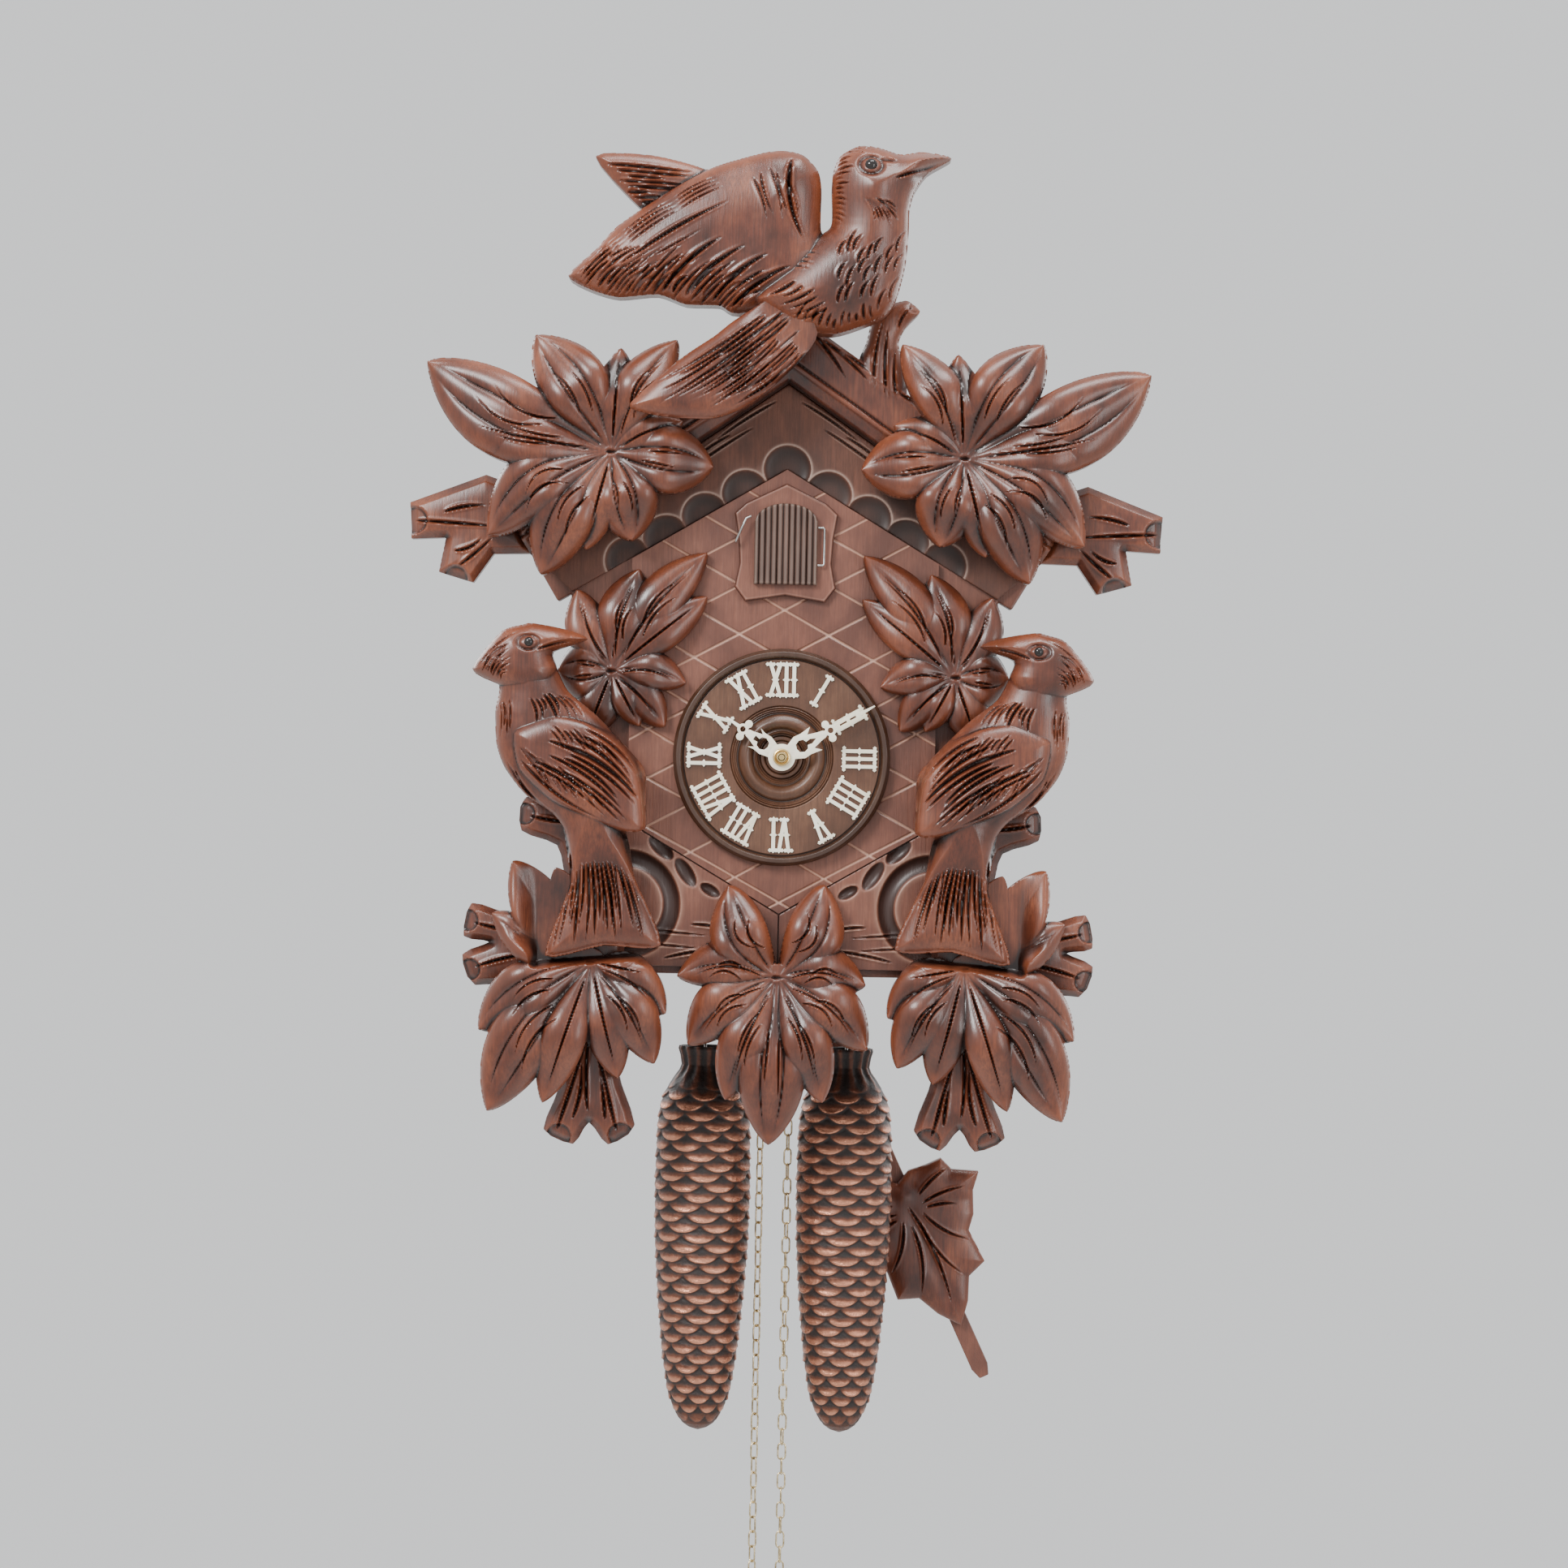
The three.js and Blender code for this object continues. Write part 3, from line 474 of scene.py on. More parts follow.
def fan(H, X, Z, starts, ends, count, width, depth, bend=0.0):
    """A row of hand-cut, uneven grooves from one line of starts to one line of ends."""
    for k in range(count):
        t = (k + 0.5) / count
        a, b = along(starts, t), along(ends, t)
        wobble = rng.uniform(-UNEVEN, UNEVEN, 3)
        gouge(H, X, Z, a + (b - a) * abs(wobble[0]),
              b + (a - b) * abs(wobble[1]) * (1 + k % 3), width * (1 + wobble[2]),
              depth * (1 + wobble[2] * 1.5), bend * (1 + wobble[0]))


def strokes(H, X, Z, table):
    """Cuts a table of single grooves, from point to point, and fans, from line to line."""
    for start, end, *rest in table:
        cut = fan if np.ndim(start) == 2 else gouge
        cut(H, X, Z, start, end, *rest)


def dome(d, rounding, height, floor=0.0):
    """Height across a rounded body whose edge lies at depth d = 0."""
    t = np.clip(d / rounding, 0, 1)
    h = floor + (height - floor) * np.sqrt(np.clip(1 - (1 - t) ** 2, 0, 1))
    return np.where(d > 0, h, floor - LOBE_STEEP * -d)


def carve_lobes(X, Z, centre, table, hub, peak, tip, hub_radius):
    """A leaf of curved lobes that meet in valleys, each lobe fluted along its length."""
    cx, cz = centre
    r = np.hypot(X - cx, Z - cz)
    F = hub_radius - r
    H = np.where(r < hub_radius, hub - 0.05 * r, hub - LOBE_STEEP * (r - hub_radius))
    for k, (angle, length, width, bend) in enumerate(table):
        a = math.radians(angle)
        ax, az = math.cos(a), math.sin(a)
        u = ((X - cx) * ax + (Z - cz) * az) / length
        v = -(X - cx) * az + (Z - cz) * ax
        t = np.clip(u, 1e-4, 1 - 1e-4)
        off = v - bend * 4 * t * (1 - t)
        half = width * FULLNESS * np.sin(np.pi * t ** 1.2) ** 0.7
        beyond = np.maximum(u - 1, 0) * length + np.maximum(-u, 0) * length
        f = half - np.abs(off) - beyond
        s = off / np.maximum(half, 0.8)
        sc = np.clip(s, -1, 1)
        lift = ((k * 7) % 5) * 0.8 - 1.2
        size = min(1.0, length / 75)
        rise = smoothstep(0.02, 0.5, t)
        fall = smoothstep(0.5, 1.0, t)
        top = hub + (peak * (0.55 + 0.45 * size) - hub + lift) * rise
        top -= (top - tip) * 0.85 * fall
        dome = min(6.5, 0.5 * width) * (np.sqrt(1.02 - sc ** 2) - 1)
        flutes = 3 if width >= 12 else 2
        frac = ((s + 1) / 2 * flutes) % 1.0
        profile = np.sqrt(np.clip(1 - (2 * frac - 1) ** 2, 0, 1))
        amp = smoothstep(0.03, 0.22, t) * (1 - smoothstep(0.7, 0.97, t))
        tilt = 0.9 * s * (1 if k % 2 else -1)
        h = top + dome + (profile - 1) * min(2.6, 0.16 * width + 0.5) * amp + tilt * amp
        h = np.where(f > 0, h, h - LOBE_STEEP * -f)
        H = np.maximum(H, h)
        F = np.maximum(F, f)
    return F, H


def add_veins(H, X, Z, centre, table):
    """Cut veins from the hub: one on a narrow lobe, two on a wide one, or all three."""
    for angle, length, half, bend in table:
        a = math.radians(angle)
        outward = np.array([math.cos(a), math.sin(a)])
        across = np.array([-outward[1], outward[0]])
        for s, t0, t1 in ((0.0, 0.14, 0.84), (0.34, 0.35, 0.72), (-0.36, 0.3, 0.66)):
            if (half < 10 and s != 0) or (half >= 12 and s == 0):
                continue
            shift = s * half * 0.9
            start = centre + outward * length * t0 + across * (shift * 0.6)
            end = centre + outward * length * t1 + across * (shift * 0.9)
            gouge(H, X, Z, start, end, 1.5, 1.6, bend * 0.8)


def carve(name, body, nodes, xs, zs, F, H, back, material, slot="carved_wood", mirror=False,
          spin=None, thin=2.5, cavity=3.0, stain=0.0):
    """Makes a closed solid with a flat back from a height field and an inside test."""
    stain = np.zeros(F.shape) + stain
    if mirror:
        xs, F, H, stain = -xs[::-1], F[::-1], H[::-1], stain[::-1]
    step = xs[1] - xs[0]
    H = np.maximum(H, thin)
    soft = np.clip(H, thin, None)
    near = blur(soft, max(1, int(1.2 / step)))
    wide = blur(soft, max(2, int(cavity * 2 / step)))
    # Relief: height above the blurred surroundings, which the wood shader paints as shade
    # where negative and as worn colour where positive, plus the extra value passed in, which
    # is painted shade and painted highlight.
    relief = np.clip((soft - near) * 1.3 + (near - wide) * 0.32 + stain, -1, 1)
    inside = F > 0
    index = -np.ones(F.shape, int)
    index[inside] = np.arange(inside.sum())
    ii, jj = np.nonzero(inside)
    points = [np.stack([xs[ii], back - H[ii, jj], zs[jj]], 1)]
    shades = [relief[ii, jj]]
    count = len(ii)

    full = inside[:-1, :-1] & inside[1:, :-1] & inside[1:, 1:] & inside[:-1, 1:]
    i, j = np.nonzero(full)
    faces = np.stack([index[i, j], index[i + 1, j], index[i + 1, j + 1], index[i, j + 1]],
                     1).tolist()
    some = inside[:-1, :-1] | inside[1:, :-1] | inside[1:, 1:] | inside[:-1, 1:]
    crossings, extra, extra_shade, rim = {}, [], [], []

    def crossing(p, q):
        key = (p, q) if p < q else (q, p)
        if key not in crossings:
            fp, fq = F[p], F[q]
            t = float(np.clip(fp / (fp - fq), 0.04, 0.96))
            h = H[p] if fp > 0 else H[q]
            crossings[key] = count + len(extra)
            extra.append((xs[p[0]] + t * (xs[q[0]] - xs[p[0]]), back - max(thin, h - 0.35),
                          zs[p[1]] + t * (zs[q[1]] - zs[p[1]])))
            extra_shade.append(min(1, (relief[p] if fp > 0 else relief[q]) + 0.15))
        return crossings[key]

    for a, b in zip(*np.nonzero(some & ~full)):
        corners = [(a, b), (a + 1, b), (a + 1, b + 1), (a, b + 1)]
        face, leaving = [], None
        for k in range(4):
            p, q = corners[k], corners[(k + 1) % 4]
            if inside[p]:
                face.append(int(index[p]))
            if inside[p] != inside[q]:
                c = crossing(p, q)
                face.append(c)
                if inside[p]:
                    leaving = c
                elif leaving is not None:
                    rim.append((leaving, c))
                    leaving = None
                else:
                    rim.append((None, c))
        if leaving is not None:
            for n, (start, end) in enumerate(rim[-2:]):
                place = len(rim) - len(rim[-2:]) + n
                if start is None:
                    rim[place] = (leaving, end)
        faces.append(face)

    points.append(np.array(extra))
    shades.append(np.array(extra_shade))
    edge_ids = {c: n for n, c in enumerate(sorted({c for pair in rim for c in pair}))}
    order = sorted(edge_ids)
    top = np.concatenate(points)
    base = len(top)
    low = top[order].copy()
    low[:, 1] = back
    points.append(low)
    # The back edge gets a slightly negative relief, so the sawn sides darken towards the
    # board: painted shade.
    shades.append(np.full(len(low), -0.2))
    for a, b in rim:
        faces.append([b, a, base + edge_ids[a], base + edge_ids[b]])

    flat = [Vector((p[0], p[2])) for p in low]
    links = [(edge_ids[a], edge_ids[b]) for a, b in rim]
    verts, _, tris, origin, _, _ = delaunay_2d_cdt(flat, links, [], 0, 1e-5)
    back_ids = []
    added = []
    for n, source in enumerate(origin):
        if source:
            back_ids.append(base + source[0])
        else:
            back_ids.append(base + len(low) + len(added))
            added.append((verts[n][0], back, verts[n][1]))
    # Points added on the flat back get the same painted shade.
    if added:
        points.append(np.array(added))
        shades.append(np.full(len(added), -0.2))
    for tri in tris:
        mx = sum(verts[k][0] for k in tri) / 3
        mz = sum(verts[k][1] for k in tri) / 3
        gx = (mx - xs[0]) / step
        gz = (mz - zs[0]) / step
        a, b = int(np.clip(gx, 0, len(xs) - 2)), int(np.clip(gz, 0, len(zs) - 2))
        u, v = gx - a, gz - b
        value = (F[a, b] * (1 - u) * (1 - v) + F[a + 1, b] * u * (1 - v)
                 + F[a, b + 1] * (1 - u) * v + F[a + 1, b + 1] * u * v)
        if value > 0:
            faces.append([back_ids[k] for k in reversed(tri)])

    points = np.concatenate(points)
    if spin is not None:
        turn(points, spin)
        points[:, 2] += HANG_Z
    obj = add_mesh(name, points, faces, material, body, slot, nodes, np.concatenate(shades),
                   sharp=38)
    # The sawn outline stays a crisp line all the way round.
    edges = obj.data.edges
    ends = np.empty(2 * len(edges), np.int32)
    edges.foreach_get("vertices", ends)
    on_rim = ((ends >= count) & (ends < base)).reshape(-1, 2).all(1)
    crisp = np.empty(len(edges), bool)
    edges.foreach_get("use_edge_sharp", crisp)
    edges.foreach_set("use_edge_sharp", crisp | on_rim)
    return obj


# ---------- leaves ----------
# Lobes are [angle, length, half width, bend] for the left-hand leaf.
UPPER_LEAF = [
    [154.9, 106, 17, 8], [170.4, 83, 11, 2], [124, 72, 14, -3], [85.9, 54, 8, 0],
    [60.7, 67, 10, 4], [24.6, 40, 8, 2], [-7, 53, 14, 0], [-76, 47, 13, 2],
    [-119, 73, 13, -5], [-145, 77, 13, -9], [-104, 52, 8, 0]]
MIDDLE_LEAF = [
    [52.2, 79, 10, 4], [39, 63, 8, 0], [-8, 39, 8, 4], [-45, 40, 8, 2], [-62, 32, 6, 0],
    [114, 46, 9, 3], [76, 55, 10, 3], [180, 28, 12, 0], [-110, 36, 9, 0]]
LOWER_LEAF = [
    [-123.8, 94, 14, -6], [-148, 68, 12, -5], [-108, 77, 9, 0], [-76, 62, 9, 0],
    [-57, 62, 10, 4], [-33.7, 47, 9, 4], [-10, 34, 7, 0], [129, 66, 11, 4], [112, 52, 8, 0],
    [155, 57, 9, 4]]
BOTTOM_LEAF = [
    [-92, 87, 14, 0], [-112, 69, 10, -3], [-69, 69, 10, 3], [-142, 58, 11, -6],
    [-38, 60, 11, 6], [-180, 52, 10, -7], [-4, 46, 10, 6], [119, 54, 12, 7],
    [64, 54, 12, -7]]
TAIL_ROOM = [[-125, -108], [-56, -101.5], [-56, -60], [-125, -30]]


def carve_pair(node, suffix, nodes, *field_and_look, **options):
    """The left-hand carving that was drawn, and its mirror image on the right."""
    for mirror, hand in ((False, "left"), (True, "right")):
        carve(f"{node}_{hand}{suffix}", "case", [f"{n}_{hand}" for n in nodes],
              *field_and_look, mirror=mirror, **options)


def add_leaf(name, both, centre, table, reach, back, hub, peak, tip, step, room=None):
    cx, cz = centre
    xs, zs, X, Z = field(cx - reach[0], cx + reach[1], cz - reach[2], cz + reach[3], step)
    F, H = carve_lobes(X, Z, centre, table, hub, peak, tip, 7)
    add_veins(H, X, Z, centre, table)
    gouge(H, X, Z, (cx - 3, cz), (cx + 3, cz), 3, 1.5)
    if room is not None:
        reach_in = -4 - 13 * smoothstep(-106, -92, Z)
        inside = smoothstep(reach_in, 0.5, depth_in(X, Z, np.array(room)))
        H = H * (1 - inside) + np.minimum(H, 5.2) * inside
    if both:
        carve_pair(name, "_carved", [name], xs, zs, F, H, back, CARVED)
    else:
        carve(f"{name}_carved", "case", [name], xs, zs, F, H, back, CARVED)


add_leaf("upper_leaf", True, (-91, 155.9), UPPER_LEAF, (112, 68, 75, 72), UPPER_BACK,
         12, 23.5, 8, 0.6)
add_leaf("middle_leaf", True, (-89.4, 43.1), MIDDLE_LEAF, (34, 64, 42, 70), LOW_BACK,
         8, 15.0, 5.5, 0.5)
add_leaf("lower_leaf", True, (-96.5, -107.7), LOWER_LEAF, (76, 52, 88, 62),
         LOWER_LEAF_BACK, 12, 22.5, 8, 0.55, TAIL_ROOM)
add_leaf("bottom_leaf", False, (0, -114.4), BOTTOM_LEAF, (60, 60, 92, 58), LOW_BACK,
         13, 24.5, 9, 0.55)


# ---------- birds ----------
TOP_BIRD = {
    "far_wing": [[-102.4, 308.5], [-78.7, 282.2], [-60, 270], [-30, 288], [-43.7, 302.1],
                 [-72.8, 309.5]],
    "near_wing": [[-114.9, 245.8], [-103.1, 238.8], [-88.6, 235.1], [-68.4, 237],
                  [-53.8, 232.1], [-36.5, 231.8], [-27, 228], [12, 236], [20, 262],
                  [14.8, 271.5], [14.7, 291.8], [12.8, 301.8], [5.4, 309.6], [-3.3, 311.9],
                  [-14.9, 311.1], [-40.8, 303.2], [-63, 291], [-89.4, 272.3], [-101.4, 259]],
    "tail": [[-81, 179.9], [-76, 175.5], [-61.3, 173], [-38.3, 172.7], [-22.4, 178.9],
             [-8.1, 190], [5, 203], [14, 218], [0, 240], [-26.9, 224.4], [-39, 214.7],
             [-56.1, 202.8]],
    "body": [[-20, 236], [0, 222], [21.7, 218.1], [38.9, 223.5], [49, 228.8], [54.6, 237.6],
             [58.6, 253.6], [60, 270.9], [60.2, 282.5], [62.8, 292.7], [69.2, 302.3],
             [81.6, 310.1], [74.8, 312.5], [64.6, 313.3], [54.5, 311.4], [44.4, 314.3],
             [34.2, 315.3], [24.2, 310], [20.7, 302], [19.9, 293.3], [20.4, 281.7],
             [19.6, 273], [10, 265]],
}


def add_eye(name, x, y, z, radius):
    bm = bmesh.new()
    bmesh.ops.create_uvsphere(bm, u_segments=24, v_segments=16, radius=radius)
    for v in bm.verts:
        v.co.y *= 0.8
    points, faces = drain(bm)
    add_mesh(name, np.array(points) + (x, y, z), faces, BEAD, "case", "carved_wood", sharp=80)


def add_top_bird():
    left, low, step = -118, 170, 0.6
    xs, zs, X, Z = field(left, 85, low, 319, step)
    d = {key: depth_in(X, Z, curved(line)) for key, line in TOP_BIRD.items()}
    far = dome(d["far_wing"], 14, 15, 9)
    wing = dome(d["near_wing"], 30, 28, 15)
    wing += 2.2 * np.exp(-((X - 2) / 14) ** 2 - ((Z - 292) / 26) ** 2)
    body = dome(d["body"], 24, 33.5, 16)
    fan(far, X, Z, [(-100.5, 305.9), (-79.5, 283)], [(-42, 301), (-62, 284)], 8, 2.6, 1.9)
    edge = [(-111, 246.5), (-88, 269), (-62, 287), (-40, 299)]
    for inset in (1.5, 3.6, 5.8, 8.2):
        pts = [(x + inset * 0.55, z - inset * 0.83) for x, z in edge]
        for a, b in zip(pts[:-1], pts[1:]):
            gouge(wing, X, Z, a, b, 1.4, 1.1, 1.0)
    fan(wing, X, Z, [(-112, 243.5), (-92, 235.5), (-69.4, 235.5), (-50, 231.5), (-29, 228.5)],
        [(-92, 261), (-70, 257), (-42, 260), (-21, 254), (-3, 246)], 30, 2.5, 2.0, 1.5)
    for start, end in (((-66, 238), (-36, 266)), ((-54, 236), (-24, 262)),
                       ((-40, 234), (-12, 258)), ((-30, 231), (0, 252))):
        gouge(wing, X, Z, start, end, 3.2, 2.8, 2.5)
    strokes(wing, X, Z, (
        ([(-105, 250), (-84, 247), (-60, 243)],
         [(-80, 262), (-66, 262), (-44, 266)], 9, 1.3, 1.0, 1.0),
        ((-80, 256.5), (-33, 284.5), 2.4, 2.0, 1.5),
        ((-70, 256), (-46, 270), 1.4, 1.0),
        ((-1, 307), (6, 266), 3.4, 3.2, -4.0)))
    for k in range(5):
        x = -21 + 4.2 * k
        gouge(wing, X, Z, (x, 303 - abs(k - 2) * 3), (x + 7.5, 275 + 2 * (k % 2)), 2.0, 1.3,
              1.5 * (-1) ** k)
    strokes(body, X, Z, (
        ([(-18, 266), (-22, 258), (-20, 250)],
         [(12, 264), (16, 257), (14, 249)], 6, 2.0, 1.6, 1.5),
        ([(4, 247), (14, 238), (24, 230)],
         [(-16, 236), (-6, 229), (2, 222)], 6, 2.0, 1.6, 1.0)))
    for row, (z0, reach) in enumerate(((262, 9), (250, 10), (238, 9))):
        count = 8 - row
        for k in range(count):
            x = 24 + (57 - 24) * (k + 0.5) / count + rng.uniform(-1.6, 1.6)
            foot = z0 - 5 + rng.uniform(-4, 4) + 0.12 * (x - 40)
            gouge(body, X, Z, (x - 3, foot), (x + 1.8, foot + reach + rng.uniform(-1, 4)),
                  2.0, 1.5, 1.4)
    strokes(body, X, Z, (
        ([(0, 224), (20, 219.5), (44, 226)],
         [(9, 236), (24, 230), (42, 236)], 11, 2.0, 1.8, 0.6),
        ([(22, 309), (20.5, 296), (20.5, 277)],
         [(33, 314), (30, 292), (27, 272)], 14, 1.5, 1.3, 0.6),
        ([(36, 289), (40, 288), (45, 286)],
         [(42, 272), (54, 270), (59.5, 280)], 8, 1.6, 1.3, 1.0),
        ([(24, 312), (30, 314)], [(40, 309), (46, 312)], 4, 1.2, 0.9, 0.8)))
    cheek = np.exp(-(((X - 44) / 9.5) ** 2 + ((Z - 293) / 8) ** 2))
    body += 2.2 * cheek
    eye_x, eye_z = 39.8, 303.8
    socket = np.hypot((X - eye_x) / 1.25, Z - eye_z)
    body -= 1.8 * np.exp(-((socket - 4.6) / 1.1) ** 2)
    strokes(body, X, Z, (
        ((45, 307), (54, 306.5), 3.0, 1.6),
        ((52.5, 297.5), (80.5, 309.4), 2.2, 2.4)))
    bill = smoothstep(50, 64, X) * smoothstep(294, 300, Z)
    body -= 5.0 * bill * (1 - smoothstep(0, 6, d["body"]))
    H = np.maximum(np.maximum(far, wing), body)
    F = np.maximum(np.maximum(d["far_wing"], d["near_wing"]), d["body"])
    carve("top_bird_carved", "case", ["top_bird"], xs, zs, F, H, UPPER_BACK, CARVED)
    i, j = int((eye_x - left) / step), int((eye_z - low) / step)
    add_eye("top_bird_eye", eye_x, UPPER_BACK - H[i, j] + 0.4, eye_z, 3.2)

    tail = dome(d["tail"], 13, 9.0, 2.6)
    tail = np.where(d["tail"] > 0, tail * (1 - 0.97 * smoothstep(
        46, 76, (X + 55) * 0.775 + (Z - 176) * 0.632)), tail)
    strokes(tail, X, Z, (
        ([(-2, 236), (6, 222), (10, 208)],
         [(-80, 182), (-58, 173.5), (-24, 179)], 17, 2.0, 1.8, 2.0),
        ([(-24, 221), (-14, 205), (0, 199)],
         [(-74, 190), (-62, 178), (-30, 176)], 9, 1.5, 1.4, 1.5)))
    carve("top_bird_tail", "case", [], xs, zs, d["tail"], tail, BIRD_TAIL_BACK, CARVED,
          thin=0.3)


SIDE_BIRD = [
    [-160.3, 42.3], [-146.6, 34.6], [-148.2, 21], [-147.2, 3.7], [-142.6, -8.5],
    [-131.9, -21.8], [-117, -31.8], [-110.5, -42], [-107, -67], [-120, -104.8],
    [-90, -99], [-60.5, -98.3], [-74.6, -63.8], [-81, -44], [-79.8, -39], [-69.9, -38.5],
    [-69.5, -26.8], [-70.5, -8.3], [-78.1, 1.4], [-95.8, 19.5], [-110.8, 31.6],
    [-117.2, 43.8], [-119, 52], [-101.5, 58.9], [-112, 63.5], [-129.5, 66.5],
    [-134.9, 65.6], [-145.9, 61.7]]
SIDE_WING = [
    [-138, 9.6], [-128, 16], [-117, 19], [-102, 16], [-84.8, 5.7], [-73.7, -10.2],
    [-70.2, -37.6], [-80, -39.6], [-97.2, -34], [-118, -24], [-134.3, -9]]
SIDE_TAIL = [[-112, -30], [-108, -67], [-120, -104.8], [-90, -99], [-60.5, -98.3],
             [-74.6, -63.8], [-82, -36]]
SIDE_HEAD = [[-160.3, 42.3], [-146.6, 34.6], [-132, 30], [-120, 36], [-117.2, 43.8],
             [-119, 52], [-101.5, 58.9], [-112, 63.5], [-129.5, 66.5], [-134.9, 65.6],
             [-145.9, 61.7]]


def add_side_birds():
    left, low, step = -163, -108, 0.5
    xs, zs, X, Z = field(left, -57, low, 70, step)
    whole = depth_in(X, Z, curved(SIDE_BIRD))
    wing_d = depth_in(X, Z, curved(SIDE_WING))
    tail_d = depth_in(X, Z, curved(SIDE_TAIL))
    head_d = depth_in(X, Z, curved(SIDE_HEAD))
    body = dome(whole, 20, 19.5, 7)
    body = np.minimum(body, 9 + 12 * smoothstep(-78, -18, Z))
    head = dome(head_d, 13, 21, 10)
    head -= 5 * smoothstep(-120, -104, X)
    wing = dome(wing_d, 11, 23.0, 17.0)
    tail = dome(tail_d, 13, 13.5, 6)
    tail = np.where(tail_d > 0, tail - 7 * smoothstep(-62, -34, Z), tail)
    strokes(wing, X, Z, (
        ([(-133, -6), (-116, 1), (-100, 14)],
         [(-84, -39), (-73, -36), (-71, -12)], 10, 2.1, 2.0, 3.0),
        ([(-136, 4), (-126, -2), (-110, -8)],
         [(-118, -22), (-104, -27), (-88, -30)], 12, 1.6, 1.5, 1.0),
        ([(-122, 14), (-108, 13), (-94, 7)],
         [(-112, 0), (-96, -3), (-78, -10)], 9, 1.5, 1.4, 0.8),
        ((-120, 6), (-74, -22), 2.8, 2.4, 4.0),
        ((-134, -4), (-92, -34), 2.4, 2.0, -3.0)))
    strokes(tail, X, Z, (
        ([(-109, -37), (-97, -40), (-84, -42)],
         [(-118, -103), (-92, -98), (-63, -97)], 15, 2.2, 2.2, 1.0),
        ([(-108, -60), (-88, -58), (-78, -62)],
         [(-116, -101), (-90, -98), (-68, -96)], 10, 1.4, 1.4, 0.5)))
    strokes(body, X, Z, (
        ([(-131, 29), (-122, 32), (-114, 31)],
         [(-128, 12), (-112, 14), (-98, 16)], 8, 1.8, 1.6, 1.5),
        ([(-146, 28), (-140, 28)], [(-146, 2), (-140, 6)], 4, 1.6, 1.3, 1.0),
        ([(-144, -2), (-138, -8)], [(-122, -30), (-112, -36)], 4, 1.6, 1.4, -2.0)))
    strokes(head, X, Z, (
        ([(-159, 42.5), (-152, 38.5), (-146, 35.5)],
         [(-133, 65), (-141, 54), (-136, 42)], 12, 1.5, 1.3, 2.0),
        ((-127, 52.5), (-102, 58.2), 1.9, 2.0, 1.5)))
    socket = np.hypot((X + 131.2) / 1.5, Z - 56.4)
    head -= 1.4 * np.exp(-((socket - 3.6) / 0.9) ** 2)
    H = np.maximum(np.maximum(body, tail), np.maximum(wing, head))
    F = np.maximum(np.maximum(whole, wing_d), np.maximum(tail_d, head_d))
    carve_pair("side_bird", "_carved", ["side_bird"], xs, zs, F, H, SIDE_BIRD_BACK, CARVED)
    eye_x, eye_z = 130.9, 56.6
    i, j = int((-eye_x - left) / step), int((eye_z - low) / step)
    for side, hand in ((-1, "left"), (1, "right")):
        add_eye(f"side_bird_{hand}_eye", side * eye_x, SIDE_BIRD_BACK - H[i, j] + 0.3,
                eye_z, 2.4)


add_top_bird()
add_side_birds()


# ---------- branches and crown ----------
UPPER_BRANCH = [
    [-196, 129], [-195, 110], [-177, 111], [-180.4, 93.1], [-162.4, 87.9], [-152, 103],
    [-132, 103.5], [-143, 126], [-136, 137], [-156.7, 144.1]]
LOWER_BRANCH = [
    [-160, -79], [-163.7, -96.3], [-150, -99], [-164.2, -105.7], [-157.2, -121.7],
    [-120, -118], [-112, -140], [-112, -172], [-120.2, -195.9], [-104.6, -203.4],
    [-96.5, -192], [-86.5, -203.3], [-72.7, -193], [-83, -160], [-80, -100],
    [-86, -50], [-100, -20], [-133, -23.4], [-134.7, -40.8], [-116, -48], [-112, -66],
    [-116, -80], [-140, -84]]


def add_branches():
    """Flat sticks with chamfered edges, slanting sawn ends and a few long cuts."""
    plans = (
        ("upper_branch", UPPER_BRANCH, FRONT_FACE - 0.3, 13.7,
         [((-193, 119.5), (-150, 117)), ((-170, 96), (-152, 112)), ((-178, 124), (-156, 128)),
          ((-172, 104), (-158, 111))],
         [((-193.5, 119.5), 10), ((-171.5, 90), 9)]),
        ("lower_branch", LOWER_BRANCH, LOW_BACK, 9.7,
         [((-158, -89), (-124, -94)), ((-157, -112), (-122, -104)),
          ((-113, -196), (-99, -150)), ((-82, -196), (-94, -150)),
          ((-97, -186), (-96, -140)), ((-130, -33), (-104, -36)),
          ((-105, -190), (-101, -160)), ((-88, -190), (-91, -165)),
          ((-118, -27), (-98, -34)), ((-92, -52), (-88, -96))],
         [((-161.5, -88), 8), ((-160, -113.5), 8), ((-112, -199), 9), ((-80, -198), 9),
          ((-133, -32), 8)]))
    for name, outline, back, thickness, cuts, ends in plans:
        outline = np.array(outline, float)
        lo, hi = outline.min(0) - 2, outline.max(0) + 2
        xs, zs, X, Z = field(lo[0], hi[0], lo[1], hi[1], 0.55)
        d = depth_in(X, Z, curved(outline, 3) if name == "lower_branch" else outline)
        H = thickness - 0.75 * np.clip(3.6 - d, 0, None) - 0.02 * np.clip(12 - d, 0, None) ** 2
        for (ex, ez), radius in ends:
            r = np.hypot(X - ex, Z - ez)
            H -= 3.0 * (1 - smoothstep(radius * 0.62, radius * 0.78, r))
        for start, end in cuts:
            gouge(H, X, Z, start, end, 2.3, 2.2, rng.uniform(-2, 2))
        carve_pair(name, "_carved", [name], xs, zs, d, H, back, CARVED)


